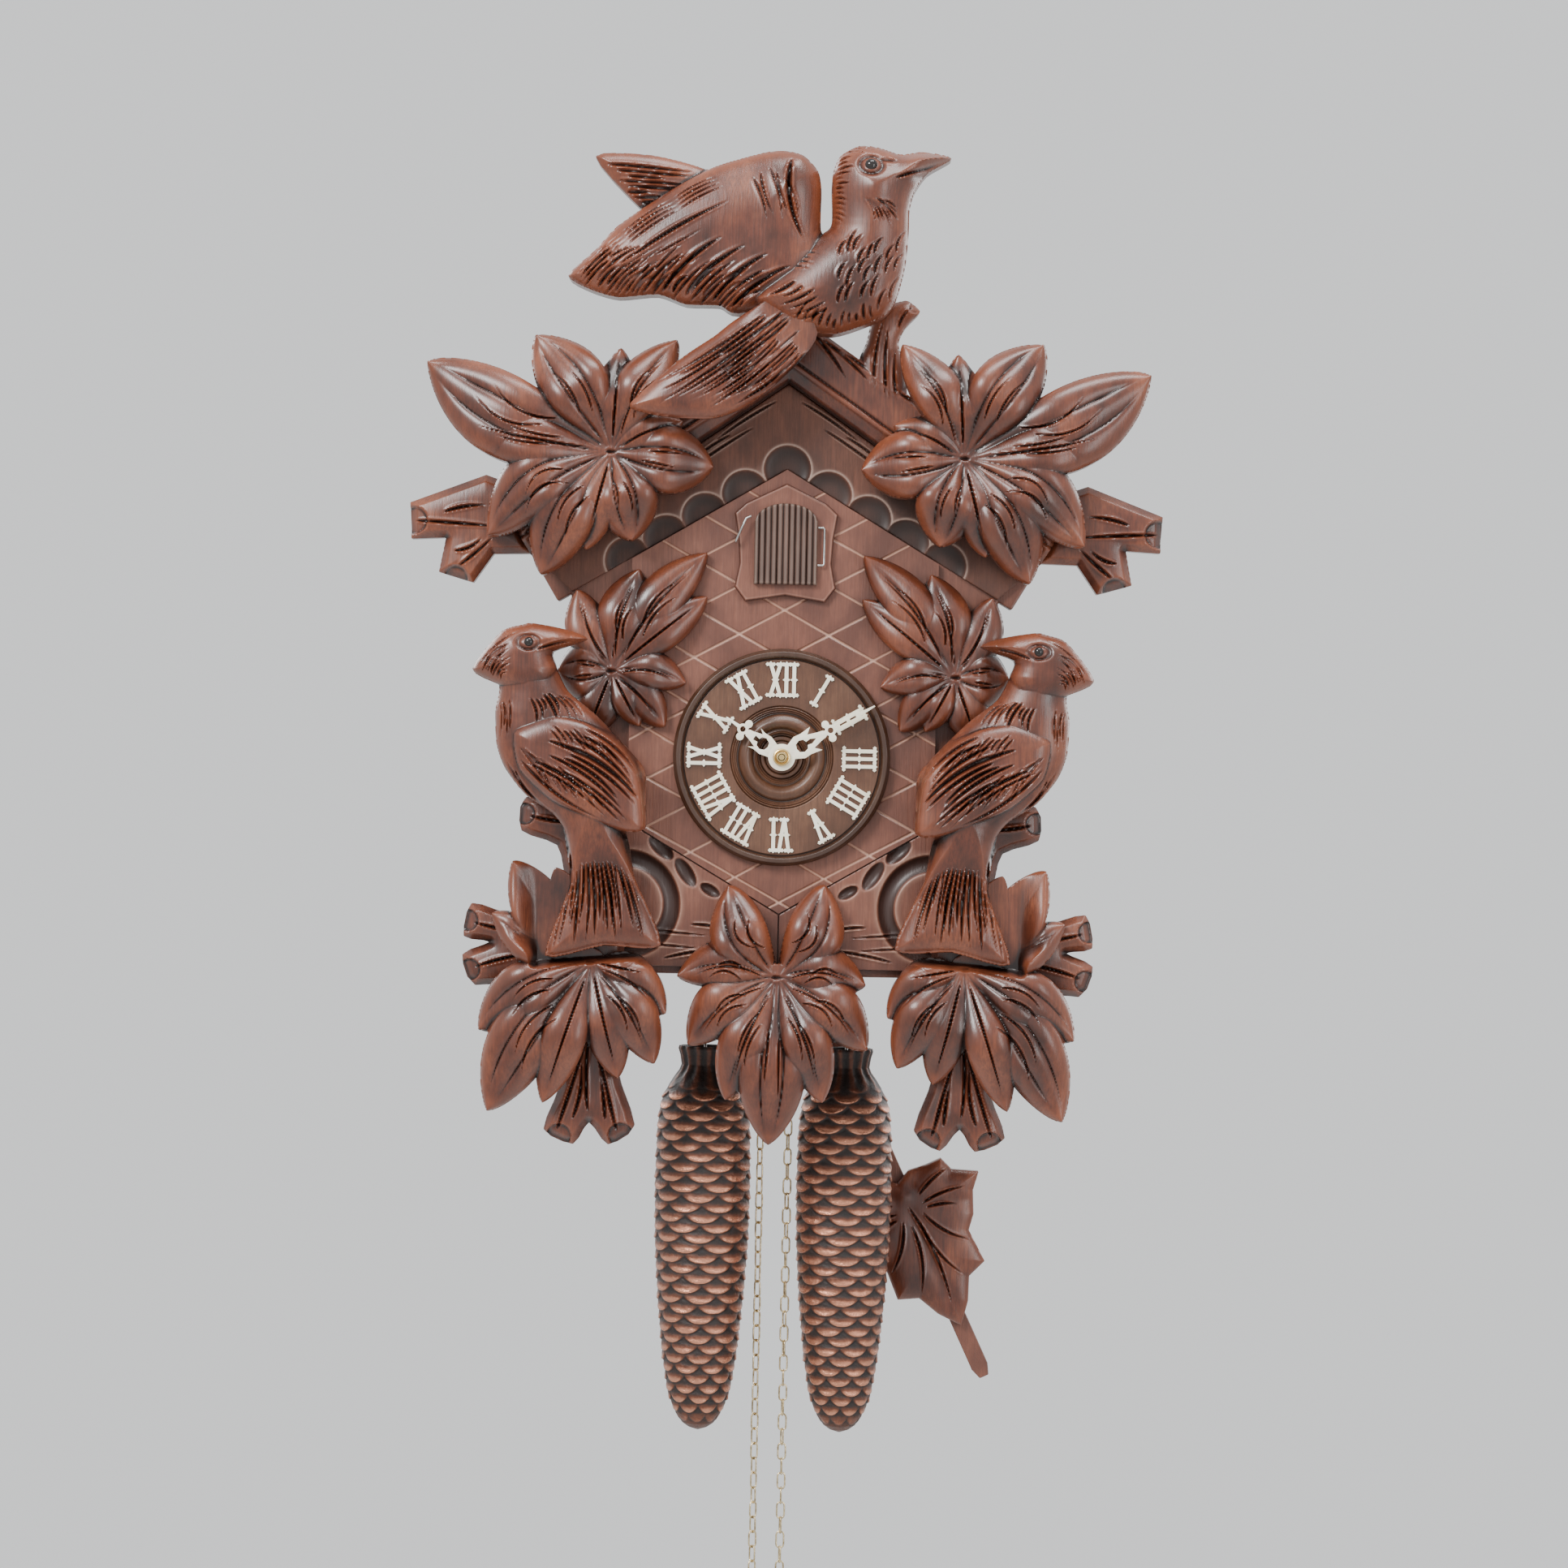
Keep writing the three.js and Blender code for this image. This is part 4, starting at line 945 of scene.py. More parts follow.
def add_crown():
    outer = np.array([[0, 232.5], [148.6, 129.2], [132.7, 102.8], [0, 195], [-132.7, 102.8],
                      [-148.6, 129.2]], float)
    perch = curved([[36, 190], [60, 178], [60.4, 201.6], [56.5, 216], [59.9, 224.7],
                    [67.4, 233.5], [61, 238.7], [54.6, 237.6], [43.8, 233], [39.8, 217],
                    [36, 207]])
    xs, zs, X, Z = field(-150, 150, 101, 240, 0.6)
    d = depth_in(X, Z, outer)
    pitch = 0.6948
    inner = ((Z - 195) + pitch * np.abs(X)) / math.hypot(1, pitch)
    H = 15.4 - 0.8 * np.clip(2.2 - d, 0, None)
    H -= 0.62 * np.clip(9.0 - inner, 0, None) * (inner > -1)
    H -= 1.3 * np.exp(-((inner - 10.4) / 0.8) ** 2)
    H += 0.8 * np.exp(-((inner - 8.0) / 1.0) ** 2)
    for side in (-1, 1):
        for x0, z0, x1, z1 in ((8, 224, 30, 196), (22, 214, 60, 186), (44, 199, 96, 160),
                               (84, 170, 122, 141), (104, 160, 138, 134), (60, 189, 92, 168),
                               (124, 141, 141, 129), (14, 219, 44, 193)):
            gouge(H, X, Z, (side * x0, z0), (side * x1, z1), 2.2, 1.9, side * 1.5)
        H -= 2.6 * (1 - smoothstep(2, 7, np.hypot(X - side * 142, (Z - 116) * 0.8)))
    pd = depth_in(X, Z, perch)
    P = dome(pd, 9, 15.6, 9)
    for start, end in (((44, 192), (48, 228)), ((51, 186), (51, 226)), ((57, 184), (55, 214)),
                       ((56, 224), (64, 236))):
        gouge(P, X, Z, start, end, 2.0, 1.8, 1.5)
    P -= 2.5 * (1 - smoothstep(2.5, 4.0, np.hypot(X - 64.5, Z - 235.5)))
    carve("gable_frame_carved", "case", ["gable_frame"], xs, zs, np.maximum(d, pd),
          np.maximum(H, P), CROWN_BACK, CARVED)


def add_scallops():
    """The board beside the lattice panel, scooped out in a row along the panel's edges."""
    top = np.array([[0, 150.6], [80.2, 102.9], [111, 84.5], [132, 103], [0, 194.6],
                    [-132, 103], [-111, 84.5], [-80.2, 102.9]], float)
    xs, zs, X, Z = field(-132, 132, 84, 196, 0.6)
    d = depth_in(X, Z, top)
    H = np.full(X.shape, 3.55)
    near = np.full(X.shape, 99.0)
    for side in (-1, 1):
        for cx, cz in ((0, 150.6), (21.6, 137.3), (42.4, 124.9), (62.4, 113.0), (82, 101.3)):
            r = np.hypot(X - side * cx, Z - cz)
            H = np.minimum(H, 0.9 + 2.4 * (r / 12.3) ** 5)
            near = np.minimum(near, r)
    # Painted shading: a painted highlight in a thin ring just outside each scoop's edge, and
    # painted shade darkening the inside of the scoops.
    stain = (0.75 * np.exp(-((near - 12.8) / 0.42) ** 2)
             - 0.45 * (1 - smoothstep(11.9, 12.5, near)) * smoothstep(-14, 6, 12 - near))
    for side in (-1, 1):
        for x0, z0, x1, z1 in ((6, 186, 40, 163), (18, 172, 66, 138), (50, 150, 92, 120),
                               (70, 140, 106, 114), (30, 168, 52, 152)):
            gouge(H, X, Z, (side * x0, z0), (side * x1, z1), 1.7, 1.5, side * 1.0)
    carve("gable_scallops", "case", [], xs, zs, d, H, FRONT_FACE - 0.1, SCOOP, thin=0.6,
          stain=stain)

    low = np.array([[-80.3, -35.0], [-0.4, -82.1], [-0.4, -110], [-108, -110],
                    [-108, -35]], float)
    xs, zs, X, Z = field(-109, 0, -111, -34, 0.6)
    d = depth_in(X, Z, low)
    H = np.full(X.shape, 3.5)
    # Painted shade darkens the oval scoops and the curved groove.
    stain = np.zeros(X.shape)
    for cx, cz, turn, a, b in ((-62, -48.5, -42, 8.5, 4.0), (-49, -61, -55, 9.0, 4.0),
                               (-36, -70, -30, 6, 3)):
        c, s = math.cos(math.radians(turn)), math.sin(math.radians(turn))
        u, v = (X - cx) * c + (Z - cz) * s, -(X - cx) * s + (Z - cz) * c
        oval = (u / a) ** 2 + (v / b) ** 2
        H = np.minimum(H, 0.7 + 2.8 * oval ** 1.2)
        stain -= 0.7 * (1 - smoothstep(0.8, 1.05, oval))
    r = np.hypot(X + 80, Z + 78)
    H = np.minimum(H, 0.8 + 2.7 * np.abs(np.clip(r - 24, -9, 9) / 5.0) ** 2)
    stain -= 0.7 * (1 - smoothstep(3.6, 4.8, np.abs(r - 24)))
    for start, end in (((-104, -98), (-38, -101)), ((-92, -92), (-36, -94)),
                       ((-60, -106), (-22, -100)), ((-46, -88), (-20, -92))):
        gouge(H, X, Z, start, end, 1.9, 1.6, 1.0)
    carve_pair("lower_scoops", "", [], xs, zs, d, H, FRONT_FACE - 0.1, PANEL,
               slot="panel_wood", thin=0.6, stain=stain)


# ---------- lattice panel ----------
def add_lattice():
    """A board ruled with crossing V grooves, cut exactly along each groove."""
    outline = [(0, 150.2), (80, 102.4), (80, -34.4), (0, -81.5), (-80, -34.4), (-80, 102.4)]
    front, back = LATTICE_FRONT, FRONT_FACE - 0.3
    bm = bmesh.new()
    ring = [bm.verts.new((x, front, z)) for x, z in outline]
    bm.faces.new(ring[::-1])
    rise, run, crossing_z = 12.7, 23.3, 76.9
    slope = math.atan2(rise, run)
    gap = 2 * rise * math.cos(slope)
    half, groove = 1.0, 0.75
    lines = []
    for sign in (1, -1):
        nx, nz = -sign * math.sin(slope), math.cos(slope)
        middle = crossing_z * nz
        for k in range(-12, 8):
            lines.append((nx, nz, middle + k * gap))

    def slice_at(nx, nz, place):
        bmesh.ops.bisect_plane(
            bm, geom=bm.verts[:] + bm.edges[:] + bm.faces[:], dist=1e-5,
            plane_co=(nx * place, 0, nz * place), plane_no=(nx, 0, nz))

    for nx, nz, place in lines:
        for shift in (-half, 0, half):
            slice_at(nx, nz, place + shift)
    openings = ((15, 88, 127), (7, -7, 7))    # half width, bottom and top
    for wide, low, high in openings:
        for cut in ((1, 0, -wide), (1, 0, wide), (0, 1, low), (0, 1, high)):
            slice_at(*cut)
    gone = []
    for face in bm.faces:
        c = face.calc_center_median()
        if any(abs(c.x) < wide and low < c.z < high for wide, low, high in openings):
            gone.append(face)
    bmesh.ops.delete(bm, geom=gone, context="FACES")
    bmesh.ops.remove_doubles(bm, verts=bm.verts[:], dist=0.01)
    for v in bm.verts:
        cut = max(max(0.0, 1 - abs(v.co.x * nx + v.co.z * nz - place) / half)
                  for nx, nz, place in lines)
        v.co.y = front + groove * cut
    rim = [e for e in bm.edges if e.is_boundary]
    wall = bmesh.ops.extrude_edge_only(bm, edges=rim)
    for v in (g for g in wall["geom"] if isinstance(g, bmesh.types.BMVert)):
        v.co.y = back
    bmesh.ops.recalc_face_normals(bm, faces=bm.faces[:])
    points, faces = drain(bm)
    relief = [(y - front) / groove if y < front + groove + 0.01 else 0.0 for x, y, z in points]
    add_mesh("lattice_panel_ruled", points, faces, PANEL, "case", "panel_wood",
             ["lattice_panel"], relief, sharp=20)


# ---------- door ----------
ARCH = [(13 * math.cos(a), 112 + 13 * math.sin(a)) for a in np.linspace(0, math.pi, 25)]
DOORWAY = np.array([(-13, 92), (13, 92), *ARCH])
PLAQUE = np.array([
    (0, 142.8), (21, 132.5), (27, 127), (24.8, 114), (24, 101), (26.4, 88.5), (20.8, 81),
    (0, 84.3), (-20.8, 81), (-26.4, 88.5), (-24, 101), (-24.8, 114), (-27, 127),
    (-21, 132.5)], float)


def add_door():
    xs, zs, X, Z = field(-29, 29, 79, 144, 0.35)
    edge = depth_in(X, Z, PLAQUE)
    hole = depth_in(X, Z, DOORWAY)
    H = 3.65 - 0.9 * np.clip(0.9 - edge, 0, None)
    H -= 0.9 * np.clip(1.0 + hole, 0, 1)
    # The plaque's outline and the doorway's edge are darkened: a painted shadow along the
    # plaque's edge and painted shade round the doorway.
    carve("door_plaque_carved", "case", ["door_plaque"], xs, zs, np.minimum(edge, -hole), H,
          LOW_BACK, PANEL, slot="panel_wood", thin=0.8, cavity=1.5,
          stain=-0.8 * (1 - smoothstep(0.2, 1.3, np.abs(edge)))
          - 0.5 * (1 - smoothstep(0.2, 2.0, np.abs(hole))))

    x_half = 16.4
    top = [(x_half * 0.97 * math.cos(a), 123 + 9.2 * math.sin(a))
           for a in np.linspace(0.12, math.pi - 0.12, 21)]
    leaf = np.array([(-x_half, 90), (x_half, 90), (x_half, 123), *top, (-x_half, 123)])
    xs, zs, X, Z = field(-17.4, 17.4, 89, 133, 0.25)
    d = depth_in(X, Z, leaf)
    ribs = np.abs(np.cos(np.pi * (X / 3.1))) ** 0.6
    H = 2.5 + 1.45 * ribs - 0.8 * np.clip(0.7 - d, 0, None)
    carve("cuckoo_door_ribbed", "cuckoo_door", ["cuckoo_door"], xs, zs, d, H, -146.3, DOOR,
          slot="case_wood", thin=1.5, cavity=1.0)

    x, y = 20, -148.3
    hinge = [(x - 3.2, y, 100.2), (x - 0.6, y, 100.2), (x, y, 100.9), (x, y, 110),
             (x, y, 119.1), (x - 0.6, y, 119.8), (x - 3.2, y, 119.8)]
    add_mesh("door_hinge_loop", *tube_points(hinge, 0.6, 10), STEEL, "cuckoo_door",
             "steel_wire", ["door_hinge_wire"], sharp=50)
    latch = [(-26, -146.4, 112), (-26, -150.6, 112), (-25.7, -151.2, 112.8),
             (-21.4, -151.2, 122.9), (-20.8, -151.2, 124), (-18.3, -151.2, 125.1)]
    add_mesh("door_latch_bent", *tube_points(latch, 0.6, 10), STEEL, "door_latch",
             "steel_wire", ["door_latch"], sharp=50)


add_branches()
add_crown()
add_scallops()
add_lattice()
add_door()


# ---------- dial ----------
def add_turned(name, profile, segments, material, body, slot, nodes, relief=None):
    """A turned piece about the dial's axis: the profile is closed, of [radius, y] points."""
    points = [(r * math.cos(a), y, r * math.sin(a))
              for a in np.linspace(0, 2 * math.pi, segments, endpoint=False)
              for r, y in profile]
    faces = ring_faces(segments, len(profile), True)
    if relief is not None:
        relief = np.tile(np.asarray(relief), segments)
    obj = add_mesh(name, points, faces, material, body, slot, nodes, relief)
    face_outwards(obj)
    obj.data.set_sharp_from_angle(angle=math.radians(35))


def add_dial():
    radii = np.arange(5.6, 56.6, 0.2)
    field_y = -147.6
    y = np.full(radii.shape, field_y)
    y += 2.2 * smoothstep(14.0, 11.0, radii) * (radii < 14.1)
    y -= 1.9 * np.exp(-((radii - 18.6) / 2.5) ** 2)
    y += 1.5 * np.exp(-((radii - 23.0) / 1.0) ** 2)
    y += 1.2 * np.exp(-((radii - 14.6) / 0.9) ** 2)
    for r in (26.6, 25.4, 24.3, 13.4, 12.3, 11.2, 8.6, 51.3):
        y += 0.75 * np.exp(-((radii - r) / 0.33) ** 2)
    y -= 2.3 * smoothstep(51.4, 53.0, radii) - 2.6 * smoothstep(54.6, 56.6, radii)
    base = np.convolve(np.pad(y, 8, mode="edge"), np.ones(17) / 17, "valid")
    # Grooves get negative relief, so the dial wood paints them darker: painted shade. The band
    # beyond 51.5 mm is set darker, and the bore, the outer side and the back get painted shade
    # too.
    relief = np.clip((base - y) * 1.1, -1, 0.4)
    relief = np.where(radii > 51.5, -0.45, relief)
    profile = [(5.6, LOW_BACK)] + list(zip(radii, y)) + [(56.6, y[-1] + 0.5), (56.6, LOW_BACK)]
    relief = np.concatenate([[-0.5], relief, [-0.5, -0.7]])
    add_turned("dial_turned", profile, 144, DIAL, "case", "dial_wood", ["dial"], relief)


def flat_union(name, shapes, holes, y_back, y_front, body, nodes, angle, bevel=0.22):
    """One flat ivory piece from overlapping outlines less some holes, with eased edges."""
    verts, rings = [], []
    for outline in list(shapes) + list(holes):
        start = len(verts)
        verts.extend(Vector(p) for p in outline)
        rings.append(list(range(start, len(verts))))
    out, _, tris, _, _, sources = delaunay_2d_cdt(verts, [], rings, 0, 1e-4)
    solid = set(range(len(shapes)))
    keep = [t for t, s in zip(tris, sources)
            if set(s) & solid and not any(k >= len(shapes) for k in s)]
    bm = bmesh.new()
    made = [bm.verts.new((v[0], y_front, v[1])) for v in out]
    for tri in keep:
        bm.faces.new([made[k] for k in tri])
    bmesh.ops.delete(bm, geom=[v for v in bm.verts if not v.link_faces], context="VERTS")
    bmesh.ops.dissolve_limit(bm, angle_limit=0.01, verts=bm.verts[:], edges=bm.edges[:],
                             delimit=set())
    geom = bmesh.ops.extrude_face_region(bm, geom=bm.faces[:])
    for v in (g for g in geom["geom"] if isinstance(g, bmesh.types.BMVert)):
        v.co.y = y_back
    bmesh.ops.recalc_face_normals(bm, faces=bm.faces[:])
    front = [e for e in bm.edges if len(e.link_faces) == 2
             and all(abs(v.co.y - y_front) < 1e-4 for v in e.verts)
             and e.calc_face_angle(0) > 0.8]
    bmesh.ops.bevel(bm, geom=front, offset=bevel, segments=2, profile=0.5, affect="EDGES",
                    clamp_overlap=True)
    points, faces = drain(bm)
    points = np.array(points)
    turn(points, angle)
    add_mesh(name, points, faces, IVORY, body, "ivory_plastic", nodes, sharp=30)


def bar(a, b, half):
    """A straight strip from a to b."""
    ax, az = a
    bx, bz = b
    length = math.hypot(bx - ax, bz - az)
    nx, nz = -(bz - az) / length * half, (bx - ax) / length * half
    return [(ax + nx, az + nz), (ax - nx, az - nz), (bx - nx, bz - nz), (bx + nx, bz + nz)]


def spur(x, z, wide, tall):
    """A diamond."""
    return [(x - wide, z), (x, z - tall), (x + wide, z), (x, z + tall)]


def disc(x, z, radius, count=20):
    return [(x + radius * math.cos(a), z + radius * math.sin(a))
            for a in np.linspace(0, 2 * math.pi, count, endpoint=False)]


def numeral(text, radius):
    """Outlines of one Roman numeral, its foot towards the middle of the dial."""
    widths = {"I": 4.0, "V": 7.0, "X": 7.4}
    lean_v, lean_x = 2.5, 2.6
    x = -sum(widths[c] for c in text) / 2
    shapes = []
    low, high = radius - 9.0, radius + 9.0
    for c in text:
        w = widths[c]
        m = x + w / 2
        if c == "I":
            strokes = [((m, low + 0.6), (m, high - 0.6))]
            feet = [(m, low), (m, high)]
        elif c == "V":
            strokes = [((m, low + 0.4), (m + lean, high - 0.6)) for lean in (-lean_v, lean_v)]
            feet = [(m, low), (m - lean_v, high), (m + lean_v, high)]
        else:
            strokes = [((m - lean, low + 0.6), (m + lean, high - 0.6))
                       for lean in (lean_x, -lean_x)]
            feet = [(m + lean, z) for z in (low, high) for lean in (-lean_x, lean_x)]
        for a, b in strokes:
            shapes.append(bar(a, b, 0.95))
            shapes.append(spur((a[0] + b[0]) / 2, (a[1] + b[1]) / 2, 2.0, 1.5))
        for fx, fz in feet:
            inward = 1 if fz < radius else -1
            serif_z = fz + inward * 1.0
            shapes += [bar((fx - 1.75, serif_z), (fx + 1.75, serif_z), 0.8),
                       spur(fx, fz + inward * 0.7, 1.0, 1.3),
                       spur(fx - 1.8, serif_z, 0.9, 1.1), spur(fx + 1.8, serif_z, 0.9, 1.1)]
        x += w
    return shapes


def add_numerals():
    names = ["XII", "I", "II", "III", "IIII", "V", "VI", "VII", "VIII", "IX", "X", "XI"]
    for hour, text in enumerate(names):
        flat_union(f"numeral_{hour or 12}", numeral(text, 40.4), [], -147.4, -148.5, "case",
                   [], math.radians(30 * hour), bevel=0.15)


def hand_outline(scale, tip, blade_start, blade_half):
    """A pierced hand with barbed arms and a cross of knobs."""
    def both(points):
        return points + [(-x, z) for x, z in reversed(points)]
    arms = both([(0, 3), (3.8, 5), (6.3 * scale, 10.5), (6.0 * scale, 14.5),
                 (6.8 * scale, 20.5 * scale), (3.9, 17.3 * scale), (2.4, 22.5 * scale),
                 (1.9, 25.5 * scale), (0, 25.6 * scale)])
    knob = 29 * scale
    shapes = [arms, bar((0, 22 * scale), (0, blade_start + 1), 1.45),
              disc(-4.0, knob - 1.0, 2.0), disc(4.0, knob - 1.0, 2.0), disc(0, knob, 2.9),
              bar((-4, knob - 1), (4, knob - 1), 1.2)]
    length = tip - 9.5 - blade_start
    if length > 0:
        spurs = 4
        shapes += [spur(0, blade_start + 1.6 + length * (k + 0.5) / spurs, blade_half + 1.1,
                        1.5) for k in range(spurs)]
        shapes.append(bar((0, blade_start), (0, tip - 8.5), blade_half))
    shapes.append([(-1.1, blade_start), (1.1, blade_start), (1.0, tip - 8), (0.35, tip),
                   (-0.35, tip), (-1.0, tip - 8)])
    holes = [disc(0, knob, 1.5),
             both([(0, 9.0), (2.2, 9.6), (3.3, 12.0), (2.6, 14.2), (0.9, 15.0), (1.3, 17.5),
                   (0, 20.5 * scale)])]
    return shapes, holes


def add_hands():
    shapes, holes = hand_outline(0.86, 35.5, 26.4, 1.3)
    hub = disc(0, 0, 7.0, 40)
    flat_union("hour_hand_pierced", [hub] + shapes, [disc(0, 0, 4.4, 32)] + holes,
               -151, -152.3, "hour_hand", ["hour_hand"], math.radians(HOUR_ANGLE))
    shapes, holes = hand_outline(1.0, 55.2, 31.5, 2.0)
    slots = [bar((0, 34.5), (0, 38.5), 0.45), bar((0, 40.5), (0, 44), 0.45)]
    flat_union("minute_hand_pierced", [hub] + shapes, [disc(0, 0, 1.9, 24)] + holes + slots,
               -154, -155.3, "minute_hand", ["minute_hand"], math.radians(MINUTE_ANGLE))
    add_turned("hand_nut_turned", [
        (1.9, -155.6), (4.5, -155.6), (4.5, -156.8), (4.2, -157.3), (3.7, -157.5),
        (3.5, -157.2), (3.2, -157.5), (2.9, -158.2), (2.5, -158.7), (1.9, -158.8)],
        64, BRASS, "minute_hand", "brass", ["hand_nut"])


add_dial()
add_numerals()
add_hands()


# ---------- weights ----------
SCALE_ROWS, SCALES_AROUND, SCALE_PITCH = 37, 8, 5.4


def add_weight(train, side):
    """A cast pine cone: overlapping scales whose rounded tips point down."""
    x0 = side * (CHAIN_X + SPROCKET_PITCH)
    outer = np.array([(-361, 0.4), (-359.5, 5), (-357, 8.6), (-352, 12.2), (-346, 15.0),
                      (-340, 17.0), (-320, 20.2), (-290, 23.2), (-260, 25.2), (-230, 25.8),
                      (-200, 25.2), (-188, 24.0), (-182, 22.4), (-176, 19.2), (-172, 16.4),
                      (-168, 13.2), (-165, 12.0), (-160, 12.8), (-156.4, 13.9), (-155, 13.5)])
    segments = 160
    zs = np.concatenate([np.arange(-361, -340, 0.35), np.arange(-340, -155, 0.5), [-155.0]])
    theta = np.linspace(0, 2 * math.pi, segments, endpoint=False)
    Z, T = np.meshgrid(zs, theta, indexing="ij")
    radius = np.interp(Z, outer[:, 0], outer[:, 1])
    scale_h = np.zeros(Z.shape)
    for row in range(SCALE_ROWS):
        zk = -361.5 + row * SCALE_PITCH
        if zk > -172:
            break
        phase = (T / (2 * math.pi) * SCALES_AROUND + 0.5 * (row % 2)
                 + 0.06 * math.sin(row * 1.7)) % 1.0
        u = 2 * phase - 1
        drop = 3.6 * (1 - np.abs(u) ** 2.2)
        q = (Z - (zk + 3.2 - drop))
        rise = np.sin(np.clip(q / 1.1, 0, 1) * math.pi / 2)
        body = np.where(q > 0, rise * np.clip(1 - (q - 1.1) / 11.0, 0, 1), 0)
        body *= 1 - 0.42 * np.abs(u) ** 2.4
        scale_h = np.maximum(scale_h, body)
    bottom = smoothstep(-361, -345, Z)
    top = 1 - smoothstep(-183, -173, Z)
    rough = 0.12 * np.sin(9 * T + Z * 1.3) * np.sin(0.9 * Z)
    flutes = np.cos(14 * T + 0.5)
    R = radius - 1.9 + (2.4 * scale_h + rough) * bottom * top + 1.9 * (1 - bottom * top)
    R += smoothstep(-176, -168, Z) * 0.55 * flutes
    # Relief: high on the scale lips and zero in the gaps, which the bronze paints as rubbed
    # copper and dark iron strengthened into painted highlights and painted shade.
    relief = np.clip((scale_h - 0.50) * 1.9, 0, 1) * bottom * top + (1 - top) * (
        0.16 + 0.2 * flutes) + (1 - bottom) * 0.3
    mouth = ((10.5, -155.2), (9.5, -159.0))    # radius and height of the lip and the floor
    R = np.concatenate([R] + [np.full((1, segments), r) for r, _ in mouth])
    Z = np.concatenate([Z] + [np.full((1, segments), z) for _, z in mouth])
    T = np.concatenate([T, T[:2]])
    points = np.stack([x0 + R * np.cos(T), TRAIN_Y + R * np.sin(T), Z], -1).reshape(-1, 3)
    faces = ring_faces(len(Z), segments, False)
    faces.append(list(range(segments))[::-1])
    faces.append(list(range(len(points) - segments, len(points))))
    relief = np.concatenate([relief.ravel(), np.full(2 * segments, 0.1)])
    add_mesh(f"{train}_weight_cone", points, faces, BRONZE, f"{train}_weight", "cone_iron",
             [f"{train}_weight"], relief, sharp=60)
    hook = [(x0, TRAIN_Y, -160), (x0, TRAIN_Y, -153.6)]
    hook += [(x0, TRAIN_Y + 2.4 * math.sin(a), -151.2 - 2.4 * math.cos(a))
             for a in np.linspace(0.2, 5.9, 16)]
    add_mesh(f"{train}_weight_hook", *tube_points(hook, 0.75, 8), STEEL, f"{train}_weight",
             "cone_iron", sharp=60)


# ---------- chains ----------
def link(x, y, z, twist):
    a = (LINK_WIDTH - LINK_WIRE) / 2
    b = (LINK_PITCH + LINK_WIRE) / 2
    straight = b - a
    c, s = math.cos(twist), math.sin(twist)
    line = [(x + a * math.cos(t) * c, y + a * math.cos(t) * s, z + end + a * math.sin(t))
            for start, end in ((0, straight), (math.pi, -straight))
            for t in np.linspace(start, start + math.pi, 7)]
    return tube_points(line, LINK_WIRE / 2, 7, closed=True)


def chain(low, high, x, twist):
    """Links turned a quarter from one to the next, and the height where the top one ends."""
    count = int((high - low - LINK_PITCH - 2 * LINK_WIRE) / LINK_PITCH) + 1
    first = low + LINK_PITCH / 2 + LINK_WIRE
    parts = []
    for k in range(count):
        wobble = math.radians(8 * math.sin(k * 2.3) + 0.6 * k)
        parts.append(link(x, TRAIN_Y, first + k * LINK_PITCH,
                          twist + wobble + (math.pi / 2 if k % 2 else 0)))
    top = first + (count - 1) * LINK_PITCH + LINK_PITCH / 2 + LINK_WIRE
    return merge(parts), top


def add_chains(train, side, twist):
    outer = side * (CHAIN_X + SPROCKET_PITCH)
    inner = side * (CHAIN_X - SPROCKET_PITCH)
    links, _ = chain(-150.4, 82, outer, twist)
    add_mesh(f"{train}_weight_links", *links, CHAIN_BRASS, f"{train}_weight", "brass",
             [f"{train}_weight_chain"], sharp=60)
    links, top = chain(CHAIN_END, -28, inner, twist)
    links = add_mesh(f"{train}_free_links", *links, CHAIN_BRASS, f"{train}_pull_chain",
                     "brass", [f"{train}_free_chain"], sharp=60)
    ring_path = [(inner, TRAIN_Y + 6.5 * math.sin(a), CHAIN_END - 7.9 + 6.5 * math.cos(a))
                 for a in np.linspace(0, 2 * math.pi, 48, endpoint=False)]
    ring = add_mesh(f"{train}_pull_ring", *tube_points(ring_path, 1.1, 12, closed=True),
                    CHAIN_BRASS, f"{train}_pull_chain", "brass", [f"{train}_chain_ring"],
                    sharp=60)
    route = to_metres([(inner, TRAIN_Y, z) for z in np.linspace(top, CHAIN_END, 30)]).tolist()


for train_name, train_side, train_twist in (("strike", -1, 0.6), ("going", 1, 0.05)):
    add_weight(train_name, train_side)
    add_chains(train_name, train_side, train_twist)


